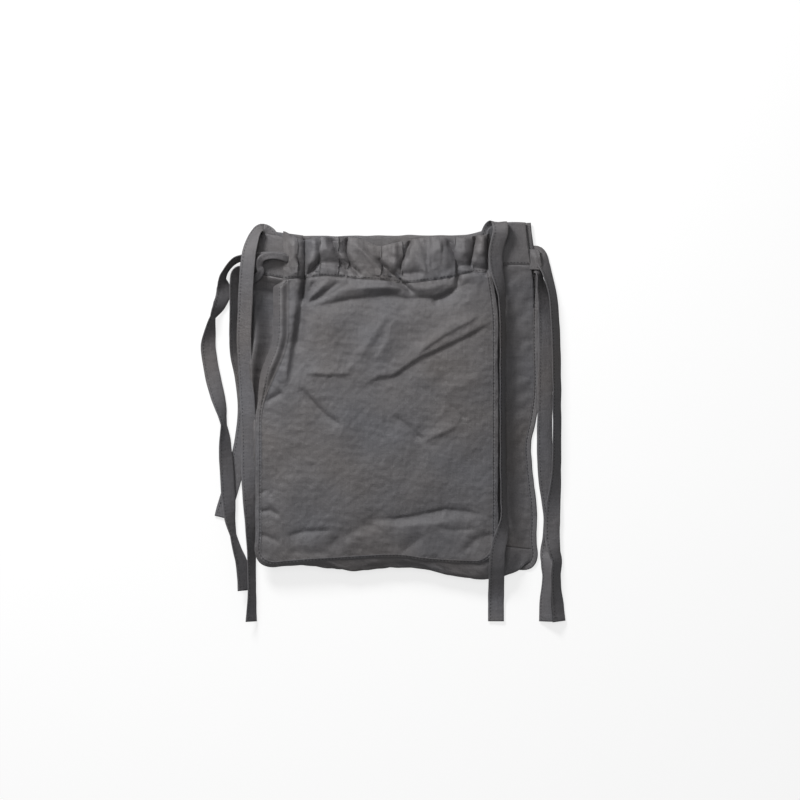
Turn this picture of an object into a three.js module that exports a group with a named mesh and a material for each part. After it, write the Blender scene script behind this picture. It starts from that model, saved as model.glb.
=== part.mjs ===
// A box-sided cotton drawstring bag with two knot ties, lying empty on its back.
// Millimetres. +X is the wearer's right, +Y runs from the base to the mouth, +Z is up, out of the front panel.
import * as THREE from 'three';

// Panels: the front and the back are cut alike, and the gusset strip goes round both.
const panelWidth = 243;
const panelHeight = 342;
const cornerRadius = 24;
const pinchedEdge = 5.5;
const cloth = 0.7;
const seamGap = 0.3;

// How the empty bag lies: the front has slid over the back, and rests on the folded gussets.
const backFoot = -177;
const slideAcross = 42;
const slideUp = 15;
const seamHeight = 20;
const frontCrown = 6;
const takenUpInFolds = 23;

// The gather of the front at the mouth, which reaches further down the left side than the right.
const gatherWidth = 37;
const gatherShift = 9.5;
const gatherFrom = 0.45;
const gatherTo = 0.72;
const rightGatherFrom = 0.72;
const rightGatherTo = 0.95;
const frontCornerRise = 9;
const pleatCount = 11;
const pleatDepth = 0.8;

// Main folds of the slack front: the line of each, its height, and its slope to the left and right of the line.
const foldFade = 20;
const frontFolds = [
  { line: [[-40, 14], [-5, 26], [32, 49], [88, 77]], height: 3, left: 11, right: 6 },
  { line: [[-40, -115], [-3, -119], [47, -110], [85, -116]], height: -2.6, left: 13, right: 7 },
  { line: [[-72, -148], [-36, -127], [-12, -120]], height: -1.5, left: 9, right: 8 },
  { line: [[-86, 92], [-48, 100], [-8, 105], [38, 101], [70, 112]], height: -3, left: 7, right: 10 },
  { line: [[-92, 72], [-94, 56], [-98, 26]], height: -2.8, left: 9, right: 8 },
];

// How far the gussets swell out between their two seams, and rise at the mouth.
const leftSwell = 26;
const leftMouthSwell = 30;
const leftBulge = 29;
const leftBulgeRises = [0.5, 0.68];
const leftBulgeFalls = [0.74, 0.86];
const rightSwell = -16;
const baseSwell = 11;
const leftRise = 3;
const rightRise = 16.6;
const swellHeight = 3;

// Casings and the tapes that run in them.
const casingHeight = 43;
const frontCasingDepth = 4.6;
const backCasingDepth = 3.8;
const gussetCasingDepth = 3.4;
const tapeWidth = 16;
const tapeThickness = 1.6;
const floorGap = 0.1;
const runThickness = 1;
const laneOffset = 8.6;
const casingEnd = 2;

const charcoal = '#5d5b5c';
const tieGrey = '#615f60';
const clothFinish = { roughness: 0.85, metalness: 0 };

const halfWidth = panelWidth / 2;
const casingFoot = panelHeight - casingHeight;
const fieldInset = pinchedEdge + seamGap;
const fieldTop = casingFoot - seamGap;
const edgeThickness = 2 * cloth;
const frontFoot = backFoot + slideUp;

function smooth(from, to, value) {
  return THREE.MathUtils.smoothstep(value, from, to);
}

// A point of the back panel, across and up from the middle of its base edge.
function backPoint(across, up, height = cloth / 2) {
  return new THREE.Vector3(slideAcross / 2 + across, backFoot + up, height);
}

// How far the front is drawn in at a place, from 0 to 1.
function gatherAt(side, share) {
  const left = smooth(gatherFrom, gatherTo, share);
  const right = smooth(rightGatherFrom, rightGatherTo, share);
  return THREE.MathUtils.lerp(left, right, smooth(-1, 1, side));
}

// A point of the front panel's middle layer, with the gather, the crown and the lifted left corner.
function frontPoint(across, up) {
  const share = up / panelHeight;
  const side = across / halfWidth;
  const gather = gatherAt(side, share);
  const drawn = 1 - (gather * gatherWidth) / panelWidth;
  const leftCorner = Math.max(0, -side) ** 4 * share ** 6;
  const crown = (1 - side ** 4) * (1 - (2 * share - 1) ** 4);
  return new THREE.Vector3(
    -slideAcross / 2 + across * drawn + gather * gatherShift,
    frontFoot + share * (panelHeight - takenUpInFolds) + leftCorner * frontCornerRise,
    seamHeight + frontCrown * crown,
  );
}

// Half of a panel's width at a height, inside an edge of the given width, with the rounded base corners.
function halfWidthAt(up, inset) {
  const radius = cornerRadius - inset;
  const drop = Math.max(0, cornerRadius - up);
  return halfWidth - cornerRadius + Math.sqrt(Math.max(0, radius ** 2 - drop ** 2));
}

// How high the main folds lift the cloth at a point of the front.
function foldHeight(point) {
  const flat = new THREE.Vector3(point.x, point.y, 0);
  let total = 0;
  for (const { line, height, left, right } of frontFolds) {
    let gap = Infinity;
    let reach = left;
    for (let corner = 1; corner < line.length; corner += 1) {
      const ends = [line[corner - 1], line[corner]].map(([x, y]) => new THREE.Vector3(x, y, 0));
      const run = new THREE.Line3(...ends);
      const off = flat.clone().sub(run.closestPointToPoint(flat, true, new THREE.Vector3()));
      if (off.length() < gap) {
        gap = off.length();
        reach = run.delta(new THREE.Vector3()).cross(off).z > 0 ? left : right;
      }
    }
    total += height * Math.exp(-((gap / reach) ** 2));
  }
  return total;
}

// The front with its folds, which die away towards its seams and its casing.
function foldedFrontPoint(across, up) {
  const point = frontPoint(across, up);
  const inside = Math.min(halfWidthAt(up, fieldInset) - Math.abs(across), up - fieldInset, fieldTop - up);
  point.z += foldHeight(point) * smooth(0, foldFade, inside);
  return point;
}

// Rows of points that fill a panel inside its seam, close together round the base corners.
const frontColumns = 22;
const backColumns = 4;
const backRows = 2;
const panelCornerRows = 6;

function panelGrid(point, columns, cornerRows, rows) {
  const grid = [];
  for (let row = 0; row <= cornerRows + rows; row += 1) {
    const turn = (Math.PI / 2) * Math.min(1, row / cornerRows);
    const curved = cornerRadius - (cornerRadius - fieldInset) * Math.cos(turn);
    const straight = ((fieldTop - cornerRadius) * Math.max(0, row - cornerRows)) / rows;
    const up = curved + straight;
    const half = halfWidthAt(up, fieldInset);
    const across = (column) => ((2 * column) / columns - 1) * half;
    grid.push(Array.from({ length: columns + 1 }, (_, column) => point(across(column), up)));
  }
  return grid;
}

// A closed body from a grid of points: the grid is thickened either side and walled round its border.
function clothSheet(grid, thickness) {
  const rows = grid.length;
  const columns = grid[0].length;
  const upper = [];
  const lower = [];
  for (let row = 0; row < rows; row += 1) {
    for (let column = 0; column < columns; column += 1) {
      const after = grid[row][Math.min(column + 1, columns - 1)];
      const along = after.clone().sub(grid[row][Math.max(column - 1, 0)]);
      const above = grid[Math.min(row + 1, rows - 1)][column];
      const up = above.clone().sub(grid[Math.max(row - 1, 0)][column]);
      const normal = along.cross(up).normalize().multiplyScalar(thickness / 2);
      upper.push(grid[row][column].clone().add(normal));
      lower.push(grid[row][column].clone().sub(normal));
    }
  }
  const points = [...upper, ...lower];
  const under = upper.length;
  const at = (row, column) => row * columns + column;
  const quads = [];
  for (let row = 0; row < rows - 1; row += 1) {
    for (let column = 0; column < columns - 1; column += 1) {
      const face = [at(row, column), at(row, column + 1), at(row + 1, column + 1), at(row + 1, column)];
      quads.push(face, face.map((index) => index + under).reverse());
    }
  }
  const border = [];
  for (let column = 0; column < columns - 1; column += 1) border.push(at(0, column));
  for (let row = 0; row < rows - 1; row += 1) border.push(at(row, columns - 1));
  for (let column = columns - 1; column > 0; column -= 1) border.push(at(rows - 1, column));
  for (let row = rows - 1; row > 0; row -= 1) border.push(at(row, 0));
  border.forEach((index, place) => {
    const next = border[(place + 1) % border.length];
    quads.push([index, index + under, next + under, next]);
  });
  return bodyOfQuads(points, quads);
}

function bodyOfQuads(points, quads) {
  const geometry = new THREE.BufferGeometry();
  geometry.setFromPoints(points);
  geometry.setIndex(quads.flatMap(([a, b, c, d]) => [a, b, c, a, c, d]));
  geometry.computeVertexNormals();
  return geometry;
}

// A loft through sections of equal count, each a closed loop that turns anticlockwise, seen from the start.
// With inner loops it is an open-ended sleeve, and without them its ends are closed.
function loft(outerLoops, innerLoops = null) {
  const count = outerLoops[0].length;
  const stations = outerLoops.length;
  const points = [...outerLoops.flat(), ...(innerLoops ?? []).flat()];
  const bore = outerLoops.flat().length;
  const quads = [];
  const ring = (station, corner, first = 0) => first + station * count + (corner % count);
  for (let station = 0; station < stations - 1; station += 1) {
    for (let corner = 0; corner < count; corner += 1) {
      const face = (first) => [
        ring(station, corner, first),
        ring(station + 1, corner, first),
        ring(station + 1, corner + 1, first),
        ring(station, corner + 1, first),
      ];
      quads.push(face(0));
      if (innerLoops) quads.push(face(bore).reverse());
    }
  }
  const last = stations - 1;
  if (innerLoops) {
    for (let corner = 0; corner < count; corner += 1) {
      quads.push([ring(0, corner), ring(0, corner + 1), ring(0, corner + 1, bore), ring(0, corner, bore)]);
      quads.push([
        ring(last, corner),
        ring(last, corner, bore),
        ring(last, corner + 1, bore),
        ring(last, corner + 1),
      ]);
    }
  } else {
    quads.push([ring(0, 0), ring(0, 1), ring(0, 2), ring(0, 3)]);
    quads.push([ring(last, 3), ring(last, 2), ring(last, 1), ring(last, 0)]);
  }
  return bodyOfQuads(points, quads);
}

// Stations along the three runs of the seam: left side, base with both corners, right side.
const sideSteps = 25;
const cornerSteps = 5;
const baseSteps = 12;

function sideStations(sign, top) {
  return Array.from({ length: sideSteps + 1 }, (_, step) => {
    const up = cornerRadius + seamGap + ((top - cornerRadius - seamGap) * step) / sideSteps;
    return { out: new THREE.Vector2(sign, 0), foot: new THREE.Vector2(sign * halfWidth, up) };
  });
}

function cornerStations(sign) {
  const centre = new THREE.Vector2(sign * (halfWidth - cornerRadius), cornerRadius);
  return Array.from({ length: cornerSteps + 1 }, (_, step) => {
    const turn = (Math.PI / 2) * (step / cornerSteps);
    const out = new THREE.Vector2(sign * Math.cos(turn), -Math.sin(turn));
    return { out, foot: centre.clone().addScaledVector(out, cornerRadius) };
  });
}

function baseStations() {
  const right = cornerStations(1).reverse();
  const inner = Array.from({ length: baseSteps - 1 }, (_, step) => {
    const across = (halfWidth - cornerRadius) * ((2 * (step + 1)) / baseSteps - 1);
    return { out: new THREE.Vector2(0, -1), foot: new THREE.Vector2(across, 0) };
  });
  return [...cornerStations(-1), ...inner, ...right];
}

// A point of the gusset at a station of the seam, from the back seam (0) to the front seam (1).
function gussetPoint(station, share) {
  const { out, foot } = station;
  const seam = foot.clone().addScaledVector(out, -pinchedEdge);
  const atMouth = smooth(casingFoot - casingHeight, casingFoot, foot.y);
  const backLift = edgeThickness + seamGap + cloth / 2;
  const mouthLift = backCasingDepth + seamGap + gussetCasingDepth / 2;
  const start = backPoint(seam.x, seam.y, THREE.MathUtils.lerp(backLift, mouthLift, atMouth));
  const end = frontPoint(seam.x, seam.y);
  end.z -= THREE.MathUtils.lerp(backLift, frontCasingDepth / 2, atMouth);
  const height = foot.y / panelHeight;
  const bulge = smooth(...leftBulgeRises, height) - smooth(...leftBulgeFalls, height);
  const leftOut = leftSwell + gatherAt(-1, height) * leftMouthSwell + bulge * leftBulge;
  const left = Math.max(0, -out.x) ** 2 * leftOut;
  const right = Math.max(0, out.x) ** 2 * rightSwell;
  const base = Math.max(0, -out.y) ** 2 * baseSwell;
  const swell = left + right + base;
  const middle = start.clone().add(end).multiplyScalar(0.5);
  middle.x += out.x * swell;
  middle.y += out.y * swell;
  middle.z = start.z + swellHeight;
  const point = new THREE.QuadraticBezierCurve3(start, middle, end).getPoint(share);
  const rise = out.x < 0 ? leftRise : rightRise;
  point.y += rise * 4 * share * (1 - share) * smooth(0, panelHeight, foot.y) * Math.abs(out.x);
  return point;
}

const gussetColumns = 8;

function gussetSheet(stations, inwards) {
  const grid = stations.map((station) =>
    Array.from({ length: gussetColumns + 1 }, (_, column) => gussetPoint(station, column / gussetColumns)),
  );
  return clothSheet(inwards ? grid.reverse() : grid, cloth);
}

// The pinched edge that stands out all round a panel's seam, below the casing.
function pinchedSeam(point, lift) {
  const top = casingFoot - seamGap;
  const stations = [
    ...sideStations(-1, top).reverse(),
    ...baseStations().slice(1, -1),
    ...sideStations(1, top),
  ];
  const bodies = stations.map(({ out, foot }) => {
    const inner = foot.clone().addScaledVector(out, -pinchedEdge);
    const rim = point(foot.x, foot.y);
    const root = point(inner.x, inner.y);
    root.z += lift;
    rim.z += lift;
    return [root, rim];
  });
  return clothSheet(bodies.reverse(), edgeThickness);
}

// A flat sleeve round a casing's middle layer: centre, direction up the casing and its outward normal.
const sleeveCorners = 12;
const sleeveSquareness = 0.6;

function sleeveLoop({ centre, up, normal, height }, wall, depth) {
  return Array.from({ length: sleeveCorners }, (_, corner) => {
    const turn = (-2 * Math.PI * (corner + 0.5)) / sleeveCorners;
    const bulge = (value) => Math.sign(value) * Math.abs(value) ** sleeveSquareness;
    const rise = (height / 2 - wall) * bulge(Math.cos(turn));
    const stand = (depth / 2 - wall) * bulge(Math.sin(turn));
    return centre.clone().addScaledVector(up, rise).addScaledVector(normal, stand);
  });
}

function sleeve(frames, depth) {
  const outer = frames.map((frame) => sleeveLoop(frame, 0, depth));
  const inner = frames.map((frame) => sleeveLoop(frame, cloth, depth));
  return loft(outer, inner);
}

// A flat tape that lies in a casing, in one of its two lanes.
function runInCasing(frames, lane) {
  const half = tapeWidth / 2;
  const corners = [
    [half, runThickness / 2],
    [half, -runThickness / 2],
    [-half, -runThickness / 2],
    [-half, runThickness / 2],
  ];
  return loft(
    frames.map(({ centre, up, normal }) =>
      corners.map(([rise, stand]) =>
        centre.clone().addScaledVector(up, lane + rise).addScaledVector(normal, stand),
      ),
    ),
  );
}

const casingReach = halfWidth - pinchedEdge - casingEnd;
const frontCasingSteps = 5 * pleatCount;
const backCasingSteps = 2;
const gussetCasingSteps = 10;
const gussetCasingFrom = 0.02;
const gussetCasingTo = 0.93;

// The middle of a casing between its foot and its top, with the direction that the casing runs in.
function casingFrame(foot, top, onward) {
  const up = top.clone().sub(foot);
  const height = up.length() - 2 * seamGap;
  up.normalize();
  const centre = foot.clone().add(top).multiplyScalar(0.5);
  return { centre, up, height, normal: onward.clone().cross(up).normalize() };
}

const acrossBag = new THREE.Vector3(1, 0, 0);

const frontCasingFrames = Array.from({ length: frontCasingSteps + 1 }, (_, step) => {
  const share = step / frontCasingSteps;
  const across = casingReach * (2 * share - 1);
  const foot = frontPoint(across, casingFoot);
  const frame = casingFrame(foot, frontPoint(across, panelHeight), acrossBag);
  frame.centre.z += pleatDepth * Math.sin(2 * Math.PI * pleatCount * share);
  return frame;
});

const backCasingFrames = Array.from({ length: backCasingSteps + 1 }, (_, step) => {
  const across = casingReach * ((2 * step) / backCasingSteps - 1);
  const height = backCasingDepth / 2;
  const top = backPoint(across, panelHeight, height);
  return casingFrame(backPoint(across, casingFoot, height), top, acrossBag);
});

// From the back seam to the front seam.
function gussetCasingFrames(sign) {
  const point = (up, share) => {
    const foot = new THREE.Vector2(sign * halfWidth, up);
    return gussetPoint({ out: new THREE.Vector2(sign, 0), foot }, share);
  };
  return Array.from({ length: gussetCasingSteps + 1 }, (_, step) => {
    const share = THREE.MathUtils.lerp(gussetCasingFrom, gussetCasingTo, step / gussetCasingSteps);
    const onward = point(casingFoot, share + 0.01).sub(point(casingFoot, share - 0.01));
    return casingFrame(point(casingFoot, share), point(panelHeight, share), onward);
  });
}

const leftCasingFrames = gussetCasingFrames(-1);
const rightCasingFrames = gussetCasingFrames(1);

// A flat tape along hand-laid points, each x, y, z and the roll of the tape about its run in degrees.
// A tape that folds over an edge is given the direction that its width keeps to.
const tapeStep = 8;

// A rolled tape stands on its lower edge, just clear of the floor.
function tapePlace([x, y, z, roll]) {
  const lean = THREE.MathUtils.degToRad(roll);
  const least = (tapeWidth * Math.abs(Math.sin(lean)) + tapeThickness * Math.cos(lean)) / 2 + floorGap;
  return new THREE.Vector3(x, y, Math.max(z, least));
}

function tape(route, widthKeeps = null) {
  const curve = new THREE.CatmullRomCurve3(route.map(tapePlace), false, 'centripetal');
  const steps = Math.max(4, Math.round(curve.getLength() / tapeStep));
  const loops = [];
  for (let step = 0; step <= steps; step += 1) {
    const share = step / steps;
    const place = curve.getUtoTmapping(share) * (route.length - 1);
    const before = Math.min(Math.floor(place), route.length - 2);
    const roll = THREE.MathUtils.lerp(route[before][3], route[before + 1][3], place - before);
    const centre = curve.getPointAt(share);
    const along = curve.getTangentAt(share);
    const across = widthKeeps
      ? widthKeeps.clone().projectOnPlane(along)
      : along.clone().cross(new THREE.Vector3(0, 0, 1));
    across.normalize().applyAxisAngle(along, THREE.MathUtils.degToRad(-roll));
    const normal = across.clone().cross(along);
    const corner = (width, thick) =>
      centre.clone().addScaledVector(across, width).addScaledVector(normal, thick);
    const half = tapeWidth / 2;
    const skin = tapeThickness / 2;
    loops.push([corner(half, skin), corner(-half, skin), corner(-half, -skin), corner(half, -skin)]);
  }
  return loft(loops);
}

// Free tapes as they lie. The ties start at the mouth, and the tails where the tape turns down the bag.
const leftTieEnd = [
  [-110.6, 142, 11.2, 0], [-111.4, 154, 11.5, 0], [-113, 164.6, 12.1, 0], [-115.4, 172.6, 12.6, -10],
  [-119.2, 175.6, 13.2, -40], [-124.8, 175.8, 14, -53],
];
const leftTie = [
  [-127, 175.8, 14.4, -54], [-131.5, 176.2, 15.6, -60], [-136.4, 175, 17, -60], [-141, 170.4, 18.6, -54],
  [-144.8, 162, 20.4, -44], [-147.4, 152, 22.8, -22], [-149.6, 138, 23, -4], [-151.6, 115, 17, 0],
  [-153, 90, 10.2, 0], [-154, 65, 6, 0], [-153.6, 45, 3.4, 0], [-152.2, 20, 1.9, 0],
  [-150.6, -10, 1.7, 0], [-149, -40, 1.8, 2], [-148.5, -70, 2.6, 11], [-148, -95, 4.6, 28],
  [-147.5, -120, 6.6, 45], [-147, -145, 7.8, 58], [-146.6, -170, 8.1, 62], [-146.2, -192, 8.1, 62],
  [-146, -207, 7.6, 56], [-146, -222, 7.2, 50],
];
const rightTieEnd = [
  [88, 142, 5.6, 0], [88.5, 156, 5.6, 0], [90.5, 168, 6.4, 0], [94, 177.6, 8.8, 0], [97, 180.9, 12.35, 0],
];
const rightTie = [
  [98, 181.2, 13.6, 0], [99.8, 179.8, 17.2, 0], [101.2, 172, 19.6, 12], [99.8, 158, 19.8, 18],
  [98.8, 146, 19.8, 20], [99.4, 132, 19.6, 24], [101.6, 118, 19.2, 42], [103.8, 105, 18.8, 60],
  [104.4, 85, 18.7, 69], [104.5, 50, 18.7, 70], [104.5, 0, 18.7, 70], [104.6, -40, 18.7, 70],
  [105, -80, 18.6, 70], [106, -115, 18.4, 69], [106.8, -135, 17.8, 63], [105, -155, 16.6, 48],
  [101.4, -170, 13.8, 27], [99.4, -185, 8.6, 10], [98.6, -200, 3, 2], [98.3, -212, 1.6, 0],
  [98.3, -222, 1.5, 0],
];
const leftFrontLink = [
  [-110, 146.5, 20.6, 0], [-119, 146.2, 23, 6], [-129, 145.4, 23, 16], [-137.6, 144.4, 17.6, 24],
  [-141.4, 143.4, 11, 48], [-147, 142.5, 8.3, 66], [-155, 142.6, 8.2, 66], [-162, 140.6, 8.2, 66],
  [-167, 135.5, 8.1, 62], [-171.2, 128, 7.6, 56], [-174, 120, 7.2, 50],
];
const leftFrontTail = [
  [-174.3, 119, 7.2, 50], [-177.2, 108, 6.8, 46], [-180, 97, 7.2, 52], [-184.4, 84, 8.2, 72],
  [-188.2, 70, 7.2, 50], [-190.3, 56, 5.2, 25], [-189, 42, 4.2, 15], [-185.4, 22, 4.2, 15],
  [-180.4, 2, 5.6, 28], [-176, -16, 8.1, 62], [-174.6, -25, 8.3, 72], [-173.4, -40, 7.4, 48],
  [-172.4, -60, 5.8, 32], [-171, -80, 5.6, 28], [-169.8, -100, 5.8, 30], [-168.2, -120, 7.6, 52],
  [-165.2, -135, 8.3, 70], [-161, -150, 8, 60], [-157, -163, 7, 45], [-155.2, -177, 6.8, 42],
  [-154.4, -191, 6.8, 42],
];
const leftGussetLink = [
  [-110, 129, 19.8, 0], [-119, 128.8, 22.8, 6], [-129, 128, 22.4, 16], [-137, 125.4, 16, 30],
  [-142.5, 121.4, 8.6, 32], [-150, 115.5, 4.8, 20], [-157, 110, 4.2, 18], [-163, 103.5, 5.8, 38],
  [-166.3, 95, 7.4, 58],
];
const leftGussetTail = [
  [-167, 91.8, 7.7, 60], [-167, 80, 7.8, 62], [-166.4, 60, 8, 66], [-166, 47, 8, 66],
  [-164.2, 30, 8.2, 76], [-162, 10, 8.3, 84], [-160.6, -20, 8.3, 87], [-159.4, -50, 8.3, 84],
  [-159, -75, 8.1, 72], [-158.4, -95, 8, 67], [-158.3, -113, 8, 67],
];
const rightGussetLink = [
  [137.2, 131.4, 6.9, 5], [142.2, 130.4, 7.6, 36], [146, 127.4, 8, 60], [147.8, 123, 8, 60],
  [148.6, 116, 7, 48],
];
const rightGussetTail = [
  [148.7, 114.6, 7, 48], [147.4, 100, 5.4, 30], [146.6, 80, 4.4, 20], [146.6, 60, 4, 16],
  [147.4, 30, 3.8, 15], [147.8, 0, 3.8, 15], [147.2, -30, 3.8, 15], [147.2, -60, 4, 16],
  [148.2, -88, 4.4, 20], [149.8, -112, 5.8, 34], [151.2, -135, 7.2, 48], [151.6, -158, 8, 60],
  [151, -175, 8, 60], [149.8, -190, 7.2, 48], [149, -205, 5.4, 28], [149, -222, 4, 14],
];
const rightBackLink = [
  [135.6, 147, 1.9, 0], [140.6, 147.2, 2, 1], [145.2, 144.8, 4.4, 22], [149, 139.4, 7.6, 56],
  [151, 132, 8.2, 68], [153.2, 125, 8.2, 70], [155.2, 118.8, 8.2, 70],
];
const rightBackTail = [
  [155.5, 118, 8.2, 70], [158.2, 100, 8.2, 72], [159.4, 75, 8.3, 74], [160, 40, 8.3, 76],
  [160.4, 0, 8.3, 78], [160.2, -40, 8.3, 78], [159.8, -80, 8.3, 76], [159.2, -115, 8.2, 70],
  [158.8, -140, 8.2, 70], [158.8, -160, 8.2, 72], [160.4, -178, 8, 64], [161.4, -192, 7, 48],
  [162, -207, 6.4, 40], [163, -222, 6.2, 38],
];

const bag = new THREE.Group();

function piece(name, geometry, color = charcoal) {
  const mesh = new THREE.Mesh(geometry, new THREE.MeshStandardMaterial({ color, ...clothFinish }));
  mesh.name = name;
  bag.add(mesh);
}

// Panels, inside their seams and below their casings.
const backGrid = panelGrid(backPoint, backColumns, panelCornerRows, backRows);
const frontGrid = panelGrid(foldedFrontPoint, frontColumns, panelCornerRows, sideSteps);
piece('back_panel', clothSheet(backGrid, cloth));
piece('front_panel', clothSheet(frontGrid, cloth));
piece('back_seam', pinchedSeam(backPoint, (edgeThickness - cloth) / 2));
piece('front_seam', pinchedSeam(frontPoint, 0));

// The gusset strip in its three cut lengths, each with its own casing at the mouth.
piece('left_gusset', gussetSheet(sideStations(-1, fieldTop), true));
piece('base_gusset', gussetSheet(baseStations(), false));
piece('right_gusset', gussetSheet(sideStations(1, fieldTop), false));
piece('front_casing', sleeve(frontCasingFrames, frontCasingDepth));
piece('back_casing', sleeve(backCasingFrames, backCasingDepth));
piece('left_gusset_casing', sleeve(leftCasingFrames, gussetCasingDepth));
piece('right_gusset_casing', sleeve(rightCasingFrames, gussetCasingDepth));

// The sewn bag, without its tapes, sets the origin: the middle of its box, at the floor.
const sewnBox = new THREE.Box3().setFromObject(bag);
const sewnMiddle = sewnBox.getCenter(new THREE.Vector3());
bag.position.set(-sewnMiddle.x, -sewnMiddle.y, -sewnBox.min.z);

// Each drawstring goes right round the mouth in its own lane of the four casings.
const casings = {
  front: frontCasingFrames,
  back: backCasingFrames,
  left: leftCasingFrames,
  right: rightCasingFrames,
};
for (const [casing, frames] of Object.entries(casings)) {
  piece(`left_string_${casing}_run`, runInCasing(frames, laneOffset), tieGrey);
  piece(`right_string_${casing}_run`, runInCasing(frames, -laneOffset), tieGrey);
}

// Each string's two ends come out of one opening and hang down their side.
piece('left_string_front_link', tape(leftFrontLink), tieGrey);
piece('left_string_front_tail', tape(leftFrontTail), tieGrey);
piece('left_string_gusset_link', tape(leftGussetLink), tieGrey);
piece('left_string_gusset_tail', tape(leftGussetTail), tieGrey);
piece('right_string_gusset_link', tape(rightGussetLink), tieGrey);
piece('right_string_gusset_tail', tape(rightGussetTail), tieGrey);
piece('right_string_back_link', tape(rightBackLink), tieGrey);
piece('right_string_back_tail', tape(rightBackTail), tieGrey);

// Knot ties: the sewn ends stay inside the gussets, the free ends flop over the mouth.
piece('left_knot_tie_end', tape(leftTieEnd), tieGrey);
piece('left_knot_tie', tape(leftTie), tieGrey);
piece('right_knot_tie_end', tape(rightTieEnd, acrossBag), tieGrey);
piece('right_knot_tie', tape(rightTie, acrossBag.clone().negate()), tieGrey);

export default bag;
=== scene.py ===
"""A box-sided cotton drawstring bag with two knot ties, lying empty on its back.

The sewn pieces are laid out in millimetres, in the same frame as the solids, and made in metres.
+X is the picture's right, +Y runs from the base to the mouth, +Z is up, out of the front panel.
"""

import math

import bpy
import numpy as np
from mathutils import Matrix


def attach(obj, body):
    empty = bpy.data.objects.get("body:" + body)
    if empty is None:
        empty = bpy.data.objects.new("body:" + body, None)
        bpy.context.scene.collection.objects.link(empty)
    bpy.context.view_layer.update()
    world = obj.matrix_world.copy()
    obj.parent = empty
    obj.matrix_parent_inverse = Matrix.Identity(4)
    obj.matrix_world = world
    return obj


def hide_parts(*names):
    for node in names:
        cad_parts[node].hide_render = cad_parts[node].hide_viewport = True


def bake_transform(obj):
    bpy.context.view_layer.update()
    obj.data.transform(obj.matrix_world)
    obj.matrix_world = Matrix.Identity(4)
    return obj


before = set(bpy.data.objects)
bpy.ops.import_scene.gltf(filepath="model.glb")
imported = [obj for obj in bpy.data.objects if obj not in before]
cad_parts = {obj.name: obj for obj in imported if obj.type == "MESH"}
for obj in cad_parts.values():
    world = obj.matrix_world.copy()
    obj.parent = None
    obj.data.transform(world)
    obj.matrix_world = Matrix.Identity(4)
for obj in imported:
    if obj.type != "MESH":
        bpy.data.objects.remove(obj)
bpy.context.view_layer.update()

bl_info = {
    "name": "Knot-tie drawstring bag",
    "version": (1, 0, 0),
    "blender": (4, 5, 0),
    "location": "3D View > Sidebar > Bag",
    "description": "Sews a cotton drawstring bag round its solids, with its tapes, stitching and stage",
    "category": "Object",
}

MM = 0.001
CLOTH_SLOT = "charcoal_cotton"
TAPE_SLOT = "tape_cotton"

# Cut sizes of the bag, in millimetres.
PANEL_WIDTH = 243.0
PANEL_HEIGHT = 342.0
HALF_WIDTH = PANEL_WIDTH / 2
CORNER_RADIUS = 24.0
EDGE_WIDTH = 5.5
EDGE_OVERLAP = 0.6
CASING_FOOT = 299.0
CASING_HEIGHT = PANEL_HEIGHT - CASING_FOOT
BACK_FOOT = -177.0
FRONT_FOOT = -162.0
SLIDE = 21.0
FRONT_HEIGHT = 20.0
FRONT_CROWN = 6.0
TAKEN_UP = 23.0
GATHER_WIDTH = 37.0
GATHER_SHIFT = 9.5
LEFT_CORNER_RISE = 9.0
LANE_OFFSET = 8.6
LOWEST_SHARE = 0.35
BACK_HEM_LEVEL = 2.0
TAPE_HEM = 5.5
TAPE_SEAM = 2.6
STRING_THICKNESS = 0.9
STITCH_LENGTH = 2.2
UPWARD = np.array([0.0, 0.0, 1.0])
LEFTWARD = np.array([-1.0, 0.0, 0.0])

# Spans in millimetres, from one body to the other, that are handed to bend_at.
SIDE_BENDS = (2.0, 19.0)
LEAD_BENDS = (-112, -150)

# Flat sizes of the cut cloth, in metres.
SIDE_FLAT = (0.062, 0.275)
BASE_FLAT = (0.04, 0.27)

# The stage: where the picture's middle lies and what level it is framed at, in metres.
PICTURE_MIDDLE = 0.002
FRAMED_LEVEL = 0.015
FLOOR_SIZE = 12.0
FLOOR_LEVEL = -0.0004
SENSOR_WIDTH = 36.0
TOP_LIGHT_SHARE = 0.26
PAPER_TONE = 0.3
PAPER_GLOW = 0.74


def smooth(start, end, value):
    """A soft step from 0 at start to 1 at end."""
    share = np.clip((np.asarray(value, float) - start) / (end - start), 0, 1)
    return share * share * (3 - 2 * share)


def hump(offset, reach):
    """A soft hump, 1 in its middle."""
    return np.exp(-((offset / reach) ** 2))


def boxed(wave, power):
    """A sine or cosine, swelled towards a square wave."""
    return np.sign(wave) * np.abs(wave) ** power


def flowing(*points):
    """A smooth line through (x, y) points, as a function of x."""
    xs, ys = np.array(points, float).T
    slopes = np.gradient(ys, xs)

    def at(x):
        x = np.clip(x, xs[0], xs[-1])
        i = np.clip(np.searchsorted(xs, x) - 1, 0, len(xs) - 2)
        step = xs[i + 1] - xs[i]
        t = (x - xs[i]) / step
        lead = (1 + 2 * t) * (1 - t) ** 2 * ys[i] + t * (1 - t) ** 2 * step * slopes[i]
        return lead + t * t * (3 - 2 * t) * ys[i + 1] + t * t * (t - 1) * step * slopes[i + 1]

    return at


def ripples(x, y, seed, count, longest, shortest, height):
    """Low waves in many directions: the uneven lie of washed cotton."""
    draw = np.random.default_rng(seed)
    total = np.zeros(np.broadcast(x, y).shape)
    for _ in range(count):
        wave = shortest * (longest / shortest) ** draw.random()
        turn = draw.random() * 2 * math.pi
        phase = draw.random() * 2 * math.pi
        bent = 0.35 * wave * np.sin((x * math.sin(turn) - y * math.cos(turn)) / (1.9 * wave) + phase)
        along = x * math.cos(turn) + y * math.sin(turn) + bent
        total += (wave / longest) * np.sin(2 * math.pi * along / wave + phase)
    return height * total / math.sqrt(count)


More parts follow.
